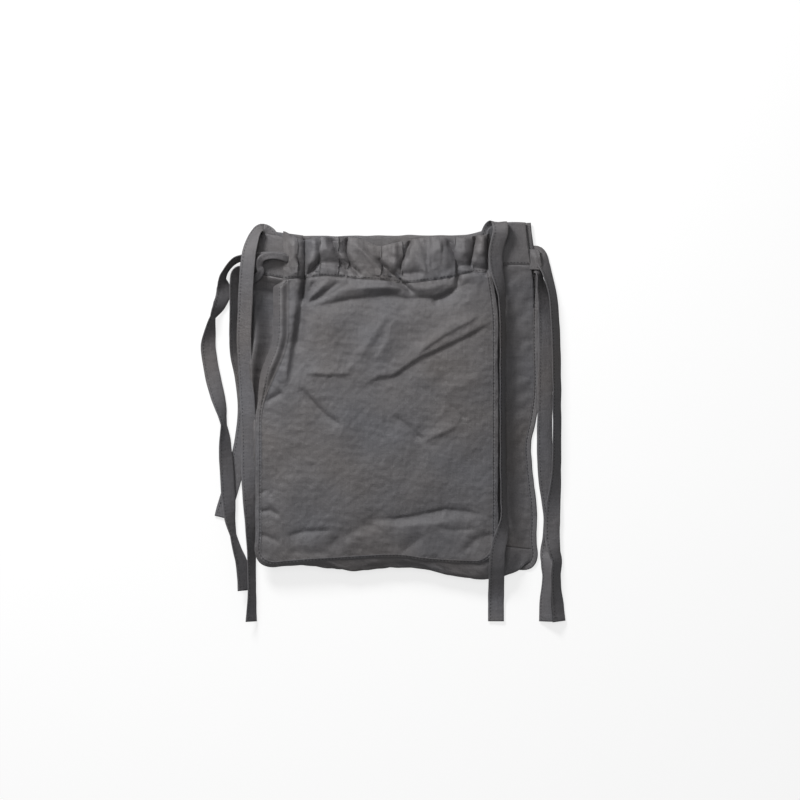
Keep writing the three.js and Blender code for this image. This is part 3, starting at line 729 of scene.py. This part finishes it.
RIGHT_GUSSET_STRING = [
    (137.2, 131.4, 6.9, 5), (140, 130.6, 7.4, 30), (141.8, 127.6, 8, 60), (142.4, 122, 8.2, 68),
    (144, 112, 7.4, 50), (146.4, 100, 6.2, 36), (147.4, 86, 4.8, 24), (148, 70, 4.2, 18),
    (148.2, 50, 4, 16), (147.8, 26, 3.8, 15), (147.4, 0, 3.8, 15), (147, -30, 3.6, 14),
    (147.4, -60, 3.2, 12), (149.2, -84, 2.4, 7), (152, -102, 1.9, 4), (153.8, -120, 1.8, 3),
    (152.6, -140, 2, 2), (150.6, -152, 3, -12), (149.2, -161, 6.4, -44), (149.2, -175, 8, -58),
    (148.6, -190, 7.5, -52), (147.8, -205, 6.6, -42), (148.4, -222, 5.7, -34),
]
RIGHT_BACK_STRING = [
    (135.6, 147, 1.9, 0), (139.4, 146.8, 2.2, 2), (142.6, 143.4, 4.2, 22), (145.6, 137, 6.2, 42),
    (148.6, 129, 7.4, 52), (151.4, 120, 7.7, 56), (154, 110, 7.8, 58), (156, 97, 7.8, 58),
    (157.6, 75, 7.7, 57), (158.8, 40, 7.7, 57), (159.2, 0, 7.7, 57), (159.2, -40, 7.8, 57),
    (158.6, -70, 7.8, 54), (157.2, -90, 7.4, 40), (155.6, -106, 6.4, 24), (154.8, -122, 5.6, 14),
    (154.8, -140, 6.4, 20), (156.4, -152, 8, 38), (159, -161, 7.5, 48), (158.4, -175, 7.6, 54),
    (158.4, -190, 7.4, 50), (160, -205, 5.9, 40), (161.4, -222, 5.3, 34),
]


def tape_line(points):
    """Closely spaced centre points of a tape through its route, with the roll at each."""
    points = np.array(points, float)
    padded = np.concatenate([[2 * points[0] - points[1]], points, [2 * points[-1] - points[-2]]])
    found = []
    for a, b, c, d in zip(padded[:-3], padded[1:-2], padded[2:-1], padded[3:]):
        steps = ((a, b), (b, c), (c, d))
        before, within, after = (math.sqrt(np.linalg.norm(q[:3] - p[:3])) for p, q in steps)
        lead = ((b - a) / before - (c - a) / (before + within) + (c - b) / within) * within
        follow = ((c - b) / within - (d - b) / (within + after) + (d - c) / after) * within
        t = np.linspace(0, 1, 24, endpoint=False)[:, None]
        place = (1 + 2 * t) * (1 - t) ** 2 * b + t * (1 - t) ** 2 * lead
        place = place + t * t * (3 - 2 * t) * c + t * t * (t - 1) * follow
        place[:, 3:] = b[3] + t * (c[3] - b[3])
        found.append(place)
    line = np.concatenate([*found, points[-1:]])
    place = lengths_along(line[:, :3])
    even = np.linspace(0, place[-1], int(place[-1] / 1.5) + 1)
    return at_lengths(even, place, line), even


def tape_frames(line, keeps):
    """Directions across each step of a tape and out of its face."""
    along = unit(np.gradient(line[:, :3], axis=0))
    if keeps is None:
        across = unit(np.cross(along, UPWARD))
    else:
        across = unit(keeps - along * (along @ keeps)[:, None])
    roll = np.radians(-line[:, 3:4])
    across = across * np.cos(roll) + np.cross(along, across) * np.sin(roll)
    return across, np.cross(across, along)


def add_tape(shell, line, place, across, normal, hemmed, seed, bunched):
    """A folded and topstitched tape: a plump fold along one edge, a stitched edge along the other.

    Up to the bunched length it is squeezed together, where it comes out of its opening.
    """
    tapes = bpy.context.scene.bag_tapes
    squeeze = 1 - smooth(bunched, bunched + 24, place) if bunched else np.zeros(len(place))
    half = (tapes.width / MM / 2 * (1 - 0.56 * squeeze))[:, None]
    skin = (tapes.thickness / MM / 2 * (1 + 1.6 * squeeze))[:, None]
    turn = np.linspace(0, 2 * math.pi, 20, endpoint=False)
    wide = boxed(np.cos(turn), 0.42)
    thick = boxed(np.sin(turn), 0.55)
    seam = half - TAPE_SEAM
    plump = 1.0 - 0.18 * wide - 0.34 * hump(wide * half - seam, 1.1)
    wander = ripples(place, place * 0 + seed, seed, 6, 60, 12, 0.22)
    buckle = ripples(place, place * 0 + 3.0 * seed, seed + 40, 8, 40, 9, 0.25)
    from_end = place[-1] - place
    folded = 1 + 0.3 * (1 - smooth(TAPE_HEM, TAPE_HEM + 1.5, from_end)) * hemmed
    sideways = wide * (half + wander[:, None])
    outward = thick * plump * skin * folded[:, None] + buckle[:, None] * wide ** 2
    loops = line[:, None, :3] + across[:, None] * sideways[..., None] + normal[:, None] * outward[..., None]
    add_tube(shell, loops)
    pitch = stitch_pitch()
    for face in (1, -1):
        row = line[:, :3] + across * seam + normal * (face * (0.66 * skin + 0.1) + 0.4 * buckle[:, None])
        add_stitches(shell, row, normal * face, pitch, radius=0.32)
        if hemmed:
            at = np.searchsorted(place, place[-1] - TAPE_HEM)
            cross = np.linspace(0.6 - half[at], half[at] - 0.6, 9)
            row = line[at, :3] + cross * across[at] + normal[at] * face * (0.85 * skin[at] + 0.15)
            add_stitches(shell, row, normal[at] * face, pitch * 0.85, radius=0.2)


def length_to(points, point):
    """How far along a route it passes nearest to a point."""
    line, place = tape_line(points)
    return place[np.argmin(np.linalg.norm(line[:, :3] - point[:3], axis=1))]


def lay_tape(name, points, keeps=None, start=0.0, end=None, hemmed=True, seed=1, bunched=0.0):
    """One stretch of a tape between two lengths along its route, and its centreline in metres."""
    line, place = tape_line(points)
    across, normal = tape_frames(line, keeps)
    chosen = (place >= start - 1e-6) & (place <= (place[-1] if end is None else end) + 1e-6)
    shell = Shell()
    add_tape(shell, line[chosen], place[chosen], across[chosen], normal[chosen], hemmed, seed, bunched)
    piece = shell.make(name, TAPE_SLOT, "bag_tape", "bag_thread_and_hole_shade")
    return piece, line[chosen][:, :3] * MM


def bend_at(piece, bodies, axis, start, end):
    """Bakes a piece's placement into its mesh."""
    first, last = [0.0, 0.0, 0.0], [0.0, 0.0, 0.0]
    first[axis], last[axis] = start * MM, end * MM
    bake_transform(piece)


def bend_with_mouth(piece):
    """Hands a piece to bend_at with the side spans, which bakes its placement into its mesh."""
    bend_at(piece, ("bag_back", "bag_front"), 2, *SIDE_BENDS)


def hold(piece, body, node):
    """Lets a piece ride on a body, in the place of a node."""
    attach(piece, body)
    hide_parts(node)


def colour_of(name, description, default):
    return bpy.props.FloatVectorProperty(
        name=name, description=description, subtype="COLOR", size=3, min=0, max=1, default=default
    )


def level_of(name, description, default, **settings):
    return bpy.props.FloatProperty(name=name, description=description, default=default, **settings)


def length_of(name, description, default, **limits):
    return level_of(name, description, default, unit="LENGTH", **limits)


class BagCloth(bpy.types.PropertyGroup):
    colour: colour_of("Cloth colour", "Charcoal of the sewn panels", (0.108, 0.105, 0.107))
    # Near-black thread: the thread's own dark grey, with painted shade of the stitch holes in it.
    thread_colour_and_hole_shade: colour_of("Thread colour", "Sewing thread of seams and hems", (0.018, 0.018, 0.02))
    thickness: length_of("Cloth thickness", "Thickness of one layer", 0.0007, min=0.0002)
    stitch_pitch: length_of("Stitch pitch", "From one stitch to the next", 0.0034, min=0.002)
    weave_pitch: length_of("Weave pitch", "Across two threads of the weave", 0.0009, min=0.0003)
    roughness: level_of("Roughness", "Dullness of the cotton's lustre", 0.52, subtype="FACTOR", min=0, max=1)
    sheen: level_of("Sheen", "Soft light along slanting cloth", 0.12, subtype="FACTOR", min=0, max=1)


class BagTapes(bpy.types.PropertyGroup):
    colour: colour_of("Tape colour", "Grey of the ties and drawstrings", (0.118, 0.115, 0.118))
    width: length_of("Tape width", "Width of a folded tape", 0.016, min=0.008)
    thickness: length_of("Tape thickness", "Thickness of a folded tape", 0.0016, min=0.0006)


class BagStage(bpy.types.PropertyGroup):
    camera_height: length_of("Camera height", "From the floor to the camera", 4.015)
    framed_width: length_of("Framed width", "Width of the picture at the bag", 0.8)
    key_power: level_of("Key light", "Power of the large light at the upper left", 26.5, unit="POWER")
    fill: level_of("Fill", "Strength of the even light all round", 0.2, min=0)
    reflected: level_of("Reflected room", "Strength of the room in the cloth's lustre", 0.12, min=0)


def seen_rays(tree):
    """In a shader tree, the rays that see a thing directly or through another, and the glossy ones."""
    path = Field(tree).node("ShaderNodeLightPath")
    outputs = path.socket.node.outputs
    return path.larger(Field(tree, outputs["Is Transmission Ray"])), Field(tree, outputs["Is Glossy Ray"])


class BAG_OT_stage(bpy.types.Operator):
    """Sets the overhead camera, the soft lights and the pale floor"""

    bl_idname = "bag.stage"
    bl_label = "Stage"

    def execute(self, context):
        scene = context.scene
        stage = scene.bag_stage
        scene.view_settings.view_transform = "Standard"
        camera = bpy.data.objects.new("camera", bpy.data.cameras.new("camera"))
        scene.collection.objects.link(camera)
        camera.location = (PICTURE_MIDDLE, 0.0, stage.camera_height)
        camera.data.sensor_width = SENSOR_WIDTH
        camera.data.lens = SENSOR_WIDTH * (stage.camera_height - FRAMED_LEVEL) / stage.framed_width
        camera.data.clip_end = 50.0
        scene.camera = camera

        for name, place, size, power in (
            ("key_light", (-0.7, 1.15, 0.97), 0.5, stage.key_power),
            ("top_light", (-0.3, 0.35, 2.0), 0.9, stage.key_power * TOP_LIGHT_SHARE),
        ):
            light = bpy.data.lights.new(name, "AREA")
            light.shape = "DISK"
            light.size = size
            light.energy = power
            lamp = bpy.data.objects.new(name, light)
            scene.collection.objects.link(lamp)
            lamp.location = place
            lamp.rotation_euler = lamp.location.to_track_quat("Z", "Y").to_euler()

        world = bpy.data.worlds.new("studio")
        scene.world = world
        world.use_nodes = True
        background = world.node_tree.nodes["Background"].inputs
        seen, glossy = seen_rays(world.node_tree)
        level = seen * (1.0 - stage.fill) + glossy * stage.reflected + stage.fill
        level.to(background["Strength"])
        background["Color"].default_value = (1, 1, 1, 1)

        bpy.ops.object.select_all(action="DESELECT")
        bpy.ops.mesh.primitive_plane_add(size=FLOOR_SIZE, location=(0, 0, FLOOR_LEVEL))
        floor = context.object
        floor.name = "floor"
        paper = bpy.data.materials.new("white_paper")
        paper.use_nodes = True
        tree = paper.node_tree
        tree.nodes.clear()
        seen, _ = seen_rays(tree)
        matt = seen.node("ShaderNodeBsdfDiffuse", {0: rgba((1, 1, 1), PAPER_TONE)})
        glow = seen.node("ShaderNodeEmission", {0: (1, 1, 1, 1), 1: PAPER_GLOW})
        lit = seen.node("ShaderNodeAddShader", {0: matt, 1: glow})
        surface = seen.node("ShaderNodeMixShader", {0: seen, 1: matt, 2: lit})
        surface.to(tree.nodes.new("ShaderNodeOutputMaterial").inputs["Surface"])
        floor.data.materials.append(paper)
        return {"FINISHED"}


class BAG_OT_tails(bpy.types.Operator):
    """Lays the four free tails of the two drawstrings, each from its seam opening"""

    bl_idname = "bag.tails"
    bl_label = "Drawstring tails"

    def execute(self, context):
        left = (
            ("front", LEFT_FRONT_LINK, LEFT_FRONT_TAIL, 7, 123.5, 108, 3),
            ("gusset", LEFT_GUSSET_LINK, LEFT_GUSSET_TAIL, 9, 97, 82, 4),
        )
        for side, lead, free, knee, above, below, seed in left:
            points = lead + free
            split = length_to(points, lead[knee])
            link, _ = lay_tape(
                f"left_{side}_tape_lead", points, end=split, hemmed=False, seed=seed, bunched=split * 0.7
            )
            bend_at(link, ("bag_front", "bag_back"), 0, *LEAD_BENDS)
            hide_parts(f"left_string_{side}_link")
            body = f"left_string_{side}_tail"
            tail, path = lay_tape(f"left_{side}_tape", points, start=split, seed=seed, bunched=split * 0.7)
            bend_at(tail, ("bag_back", body), 1, above, below)
            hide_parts(body)
        right = (
            ("gusset", RIGHT_GUSSET_STRING, 118.5, 104, 5),
            ("back", RIGHT_BACK_STRING, 122.5, 108, 6),
        )
        for side, points, above, below, seed in right:
            body = f"right_string_{side}_tail"
            tail, path = lay_tape(f"right_{side}_tape", points, seed=seed)
            bend_at(tail, ("bag_back", body), 1, above, below)
            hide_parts(f"right_string_{side}_link", body)
        return {"FINISHED"}


class BAG_OT_ties(bpy.types.Operator):
    """Lays the two knot ties over the mouth, from where they are sewn inside the gussets"""

    bl_idname = "bag.ties"
    bl_label = "Knot ties"

    def execute(self, context):
        ties = (
            ("left", LEFT_TIE_END, LEFT_TIE, None, (0, -134.8, -141), (0, -134.8, -106), 1),
            ("right", RIGHT_TIE_END, RIGHT_TIE, LEFTWARD, (1, 177, 167), (0, 96.6, 55.6), 2),
        )
        for side, sewn, free, keeps, hinge, lift, seed in ties:
            points = sewn[:-1] + free
            split = length_to(points, free[0])
            end, _ = lay_tape(f"{side}_tie_root", points, keeps, end=split, hemmed=False, seed=seed)
            bend_at(end, ("bag_back", "bag_front"), *lift)
            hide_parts(f"{side}_knot_tie_end")
            tie, path = lay_tape(f"{side}_tie", points, keeps, start=split, seed=seed)
            bend_at(tie, ("bag_back", f"{side}_knot_tie"), *hinge)
            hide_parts(f"{side}_knot_tie")
        return {"FINISHED"}


def seam_stations(side_step=2.0, base_step=2.5, corner_steps=14):
    """Out direction and foot point of places round a panel's sewn edge, from left top to right top."""
    ups = np.linspace(CASING_FOOT, CORNER_RADIUS, int((CASING_FOOT - CORNER_RADIUS) / side_step) + 1)
    turn = np.linspace(0, math.pi / 2, corner_steps + 1)[1:]
    reach = HALF_WIDTH - CORNER_RADIUS
    inner = np.linspace(-reach, reach, int(2 * reach / base_step) + 1)[1:-1]
    rows = [(-1.0, 0.0, -HALF_WIDTH, up) for up in ups]
    for x, y in zip(np.cos(turn), np.sin(turn)):
        rows.append((-x, -y, -reach - CORNER_RADIUS * x, CORNER_RADIUS * (1 - y)))
    rows += [(0.0, -1.0, across, 0.0) for across in inner]
    rows += [(-x, y, -foot, up) for x, y, foot, up in rows[len(ups) : len(ups) + corner_steps][::-1]]
    rows += [(1.0, 0.0, HALF_WIDTH, up) for up in ups[::-1]]
    return np.array(rows).T


def sew_edge(name, place, lift, droop, seed, roll=0.0):
    """The pinched and edge-stitched seam round a panel, rolled out where the left side is slack."""
    out_x, out_y, foot_x, foot_y = seam_stations()[..., None]
    width = np.linspace(-0.18, 1.0, 21)
    grid_x = foot_x - out_x * EDGE_WIDTH * (1 - width)
    grid_y = foot_y - out_y * EDGE_WIDTH * (1 - width)
    middle = place(grid_x, grid_y)
    # Where the left side is slack, the edge rolls out and its stitched groove moves outward with it.
    slack = (out_x < -0.9) * (smooth(165, 210, foot_y) - smooth(290, 299, foot_y)) * (roll > 0)
    groove = 0.14 + 0.42 * slack
    skin = 0.95 - 0.72 * smooth(0.84, 1.0, width) - 0.5 * hump(width - groove, 0.1)
    skin = skin + 0.5 * slack * np.sin(math.pi * np.clip(width / groove, 0, 1)) ** 2
    middle[..., 0] -= roll * slack * np.maximum(0, width)
    middle[..., 2] += 0.35 * roll * slack * np.sin(math.pi * np.clip(width, 0, 1)) ** 2
    middle[..., 2] -= 0.4 * roll * slack * smooth(0.5, 1.0, width)
    run = lengths_along(middle[:, -1])
    wander = ripples(run, run * 0, seed, 8, 50, 9, 0.45)[:, None] * smooth(0.2, 1, width)
    wave = ripples(run, run * 0 + 30, seed + 1, 8, 40, 8, 0.4)[:, None] * smooth(0.2, 1, width)
    middle[..., 0] += out_x * wander
    middle[..., 1] += out_y * wander
    fall = np.maximum(0, -out_y) ** 2 * droop * smooth(0, 1, width)
    middle[..., 2] += lift + np.where(lift > 0, 2.2 * np.abs(wave), wave) - fall
    thick = UPWARD * skin[..., None]
    loops = np.concatenate([middle + thick, (middle - thick)[:, ::-1]], axis=1)
    shell = Shell()
    add_tube(shell, loops)
    column = (groove[:, 0] - width[0]) / (width[1] - width[0])
    left = column.astype(int)
    share = (column - left)[:, None]
    rows = np.arange(len(left))
    row = middle[rows, left] * (1 - share) + middle[rows, left + 1] * share + 0.6 * UPWARD
    add_stitches(shell, row, UPWARD, stitch_pitch())
    return shell.make(name, CLOTH_SLOT, "bag_cotton", "bag_thread_and_hole_shade")


def sew_hem(name, foot_to_top, depth, stations, ring, seed, squeeze=None, tab=None):
    """A hem folded down and sewn along its foot, hollow for the drawstrings."""
    turn = np.linspace(0, 2 * math.pi, ring, endpoint=False)
    share = 0.5 * (1 - boxed(np.cos(turn), 0.75))
    stand = boxed(np.sin(turn), 0.7)
    middle = foot_to_top(stations[:, None], share[None])
    upward = foot_to_top(stations, 1.0) - foot_to_top(stations, 0.0)
    normal = unit(np.cross(np.gradient(foot_to_top(stations, 0.5), axis=0), upward))
    ends = 1.0 if squeeze is None else squeeze(stations)[:, None]
    swell = depth / 2 * (1 + 0.12 * np.sin(stations * 0.21 + seed))[:, None] * ends
    loops = middle + normal[:, None] * (stand[None] * swell)[..., None]
    shell = Shell()
    add_tube(shell, loops)
    for face in (1, -1):
        row = foot_to_top(stations, 0.05) + normal * face * 0.62 * depth / 2
        add_stitches(shell, row, normal * face, stitch_pitch())
    if tab is not None:
        add_sheet(shell, tab, 1.2)
        row = tab[2] + 0.6 * UPWARD
        add_stitches(shell, row, UPWARD, stitch_pitch())
    return shell.make(name, CLOTH_SLOT, "bag_cotton", "bag_thread_and_hole_shade")


def sew_sheet(name, grid):
    """One layer of the bag's cloth."""
    shell = Shell()
    add_sheet(shell, grid, bpy.context.scene.bag_cloth.thickness / MM)
    return shell.make(name, CLOTH_SLOT, "bag_cotton")


class BAG_OT_front(bpy.types.Operator):
    """Sews the creased front panel, its pinched edge and its gathered hem"""

    bl_idname = "bag.front"
    bl_label = "Front"

    def execute(self, context):
        panel = sew_sheet("front_cloth", front_place(*panel_grid(16, 226, 184)))
        hold(panel, "bag_front", "front_panel")
        edge = sew_edge("front_edge", front_place, 0.0, 4.0, 21, roll=10.5)
        hold(edge, "bag_front", "front_seam")
        stations = np.linspace(-HALF_WIDTH, HALF_WIDTH, 290)
        hem = sew_hem(
            "front_hem", hem_place, 4.4, stations, 92, 2,
            squeeze=lambda a: 0.45 + 0.55 * smooth(HALF_WIDTH, HALF_WIDTH - 9, np.abs(a)),
        )
        hold(hem, "bag_front", "front_casing")
        return {"FINISHED"}


class BAG_OT_back(bpy.types.Operator):
    """Sews the back panel that the bag lies on, its pinched edge and its hem"""

    bl_idname = "bag.back"
    bl_label = "Back"

    def execute(self, context):
        grid = back_place(*panel_grid(12, 80, 70))
        grid[..., 2] = 0.55 + np.abs(ripples(grid[..., 0], grid[..., 1], 31, 12, 60, 16, 0.35))
        panel = sew_sheet("back_cloth", grid)
        hold(panel, "bag_back", "back_panel")
        edge = sew_edge("back_edge", back_place, 0.75, 0.0, 25)
        hold(edge, "bag_back", "back_seam")

        def hem_rows(station, share):
            point = back_place(station, CASING_FOOT + share * CASING_HEIGHT, BACK_HEM_LEVEL)
            point[..., 1] += share * ripples(point[..., 0], point[..., 0] * 0, 33, 8, 70, 14, 0.9)
            point[..., 2] += 0.4 * np.abs(ripples(point[..., 0], point[..., 1] * 0.2, 34, 8, 40, 10, 1.0))
            return point

        along, height = np.meshgrid(np.linspace(0, 1, 14), np.linspace(0, 1, 16))
        tab = np.stack([
            128.5 + along * (16.5 - 3.8 * height),
            131 + 20 * height - 1.2 * along * (1 - height),
            3.6 + 6.6 * smooth(0, 0.7, along) * (1 - 0.55 * smooth(0.6, 1, height))
            + 0.3 * np.sin(9 * along + 4 * height),
        ], -1)
        stations = np.linspace(-HALF_WIDTH, HALF_WIDTH, 120)
        hem = sew_hem("back_hem", hem_rows, 3.2, stations, 24, 3, tab=tab)
        hold(hem, "bag_back", "back_casing")
        return {"FINISHED"}


class BAG_OT_sides(bpy.types.Operator):
    """Sews the gusset strip: both sides with their hems, and the base"""

    bl_idname = "bag.sides"
    bl_label = "Sides and base"

    def execute(self, context):
        stations = seam_stations()
        out_x, _, _, foot_y = stations
        upright = (np.abs(out_x) > 0.9999) & (foot_y >= CORNER_RADIUS - 1e-6)
        on_left = upright & (out_x < 0)
        on_right = upright & (out_x > 0)
        between = ~upright
        first, last = np.flatnonzero(between)[[0, -1]]
        between[[first - 1, last + 1]] = True
        made = {}
        plans = (
            ("left_side", "left_gusset", on_left, 80, 61, SIDE_FLAT),
            ("right_side", "right_gusset", on_right, 40, 62, SIDE_FLAT),
            ("base_side", "base_gusset", between, 40, 63, BASE_FLAT),
        )
        for name, node, chosen, columns, seed, flat in plans:
            share = np.linspace(0, 1, columns)[None]
            row = [values[chosen][:, None] for values in stations]
            grid = gusset_place(*row, share)
            free = smooth(0, 0.12, share) * smooth(0, 0.12, 1 - share)
            run = lengths_along(grid[:, columns // 2])[:, None]
            width = lengths_along(grid[grid.shape[0] // 2])[None]
            wave = ripples(width, run, seed, 12, 40, 9, 0.9)
            wave = wave - 0.8 * np.abs(ripples(width, run, seed + 5, 7, 34, 12, 0.9))
            pucker = 0.5 * np.sin(run / 1.35 + 2 * np.sin(run / 9)) * np.exp(-share / 0.1)
            to_base = {"left_side": run[-1] - run, "right_side": run}
            joined = smooth(0, 16, to_base.get(name, np.minimum(run, run[-1] - run)))
            stand = joined * (free * wave + pucker * smooth(0, 0.04, share))
            grid = grid + grid_normals(grid) * stand[..., None]
            grid[..., 2] = np.maximum(grid[..., 2], 0.9)
            piece = sew_sheet(name, grid)
            bend_with_mouth(piece)
            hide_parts(node)
            made[name] = (piece, flat)
        for side, sign in (("left", -1.0), ("right", 1.0)):

            def hem_rows(share, height, sign=sign):
                return side_casing(sign, share, height)

            hem = sew_hem(f"{side}_side_hem", hem_rows, 2.8, np.linspace(0.0, 0.985, 60), 24, 4 + sign)
            bend_with_mouth(hem)
            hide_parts(f"{side}_gusset_casing")
            piece, flat = made[f"{side}_side"]
        piece, flat = made["base_side"]
        return {"FINISHED"}


class BAG_OT_strings(bpy.types.Operator):
    """Threads both drawstrings right round the mouth, inside the hems"""

    bl_idname = "bag.strings"
    bl_label = "Drawstrings in the hems"

    def execute(self, context):
        half = context.scene.bag_tapes.width / MM / 2
        reach = np.linspace(-110, 110, 200)
        rounds = np.linspace(0.9, 0.06, 24)
        for side, offset in (("left", LANE_OFFSET), ("right", -LANE_OFFSET)):
            rows = []
            for edge in np.linspace(-half, half, 9):
                lane = 0.5 + (offset + edge) / CASING_HEIGHT
                front = hem_place(reach, lane)
                back = back_place(reach[::-4], CASING_FOOT + lane * CASING_HEIGHT, BACK_HEM_LEVEL)
                right, left = side_casing(1.0, rounds, lane), side_casing(-1.0, rounds[::-1], lane)
                rows.append(np.concatenate([front, right, back, left]))
            shell = Shell()
            add_sheet(shell, np.stack(rows, 1), STRING_THICKNESS)
            piece = shell.make(f"{side}_string", TAPE_SLOT, "bag_tape")
            bend_with_mouth(piece)
            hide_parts(*(f"{side}_string_{run}_run" for run in ("front", "back", "left", "right")))
        return {"FINISHED"}


OPERATORS = (BAG_OT_stage, BAG_OT_tails, BAG_OT_ties, BAG_OT_front, BAG_OT_back, BAG_OT_sides, BAG_OT_strings)


class BAG_PT_sewing(bpy.types.Panel):
    """The bag's pieces and finishes"""

    bl_label = "Bag"
    bl_idname = "BAG_PT_sewing"
    bl_space_type = "VIEW_3D"
    bl_region_type = "UI"
    bl_category = "Bag"

    def draw(self, context):
        for group in (context.scene.bag_cloth, context.scene.bag_tapes, context.scene.bag_stage):
            for name in group.bl_rna.properties.keys():
                if name not in ("rna_type", "name"):
                    self.layout.prop(group, name)
        for operator in OPERATORS:
            self.layout.operator(operator.bl_idname)


CLASSES = (BagCloth, BagTapes, BagStage, *OPERATORS, BAG_PT_sewing)


def register():
    for cls in CLASSES:
        bpy.utils.register_class(cls)
    bpy.types.Scene.bag_cloth = bpy.props.PointerProperty(type=BagCloth)
    bpy.types.Scene.bag_tapes = bpy.props.PointerProperty(type=BagTapes)
    bpy.types.Scene.bag_stage = bpy.props.PointerProperty(type=BagStage)


def unregister():
    del bpy.types.Scene.bag_stage, bpy.types.Scene.bag_tapes, bpy.types.Scene.bag_cloth
    for cls in reversed(CLASSES):
        bpy.utils.unregister_class(cls)


def main():
    register()
    bpy.ops.bag.stage()
    bpy.ops.bag.tails()
    bpy.ops.bag.ties()
    bpy.ops.bag.front()
    bpy.ops.bag.back()
    bpy.ops.bag.sides()
    bpy.ops.bag.strings()


if __name__ == "__main__":
    main()
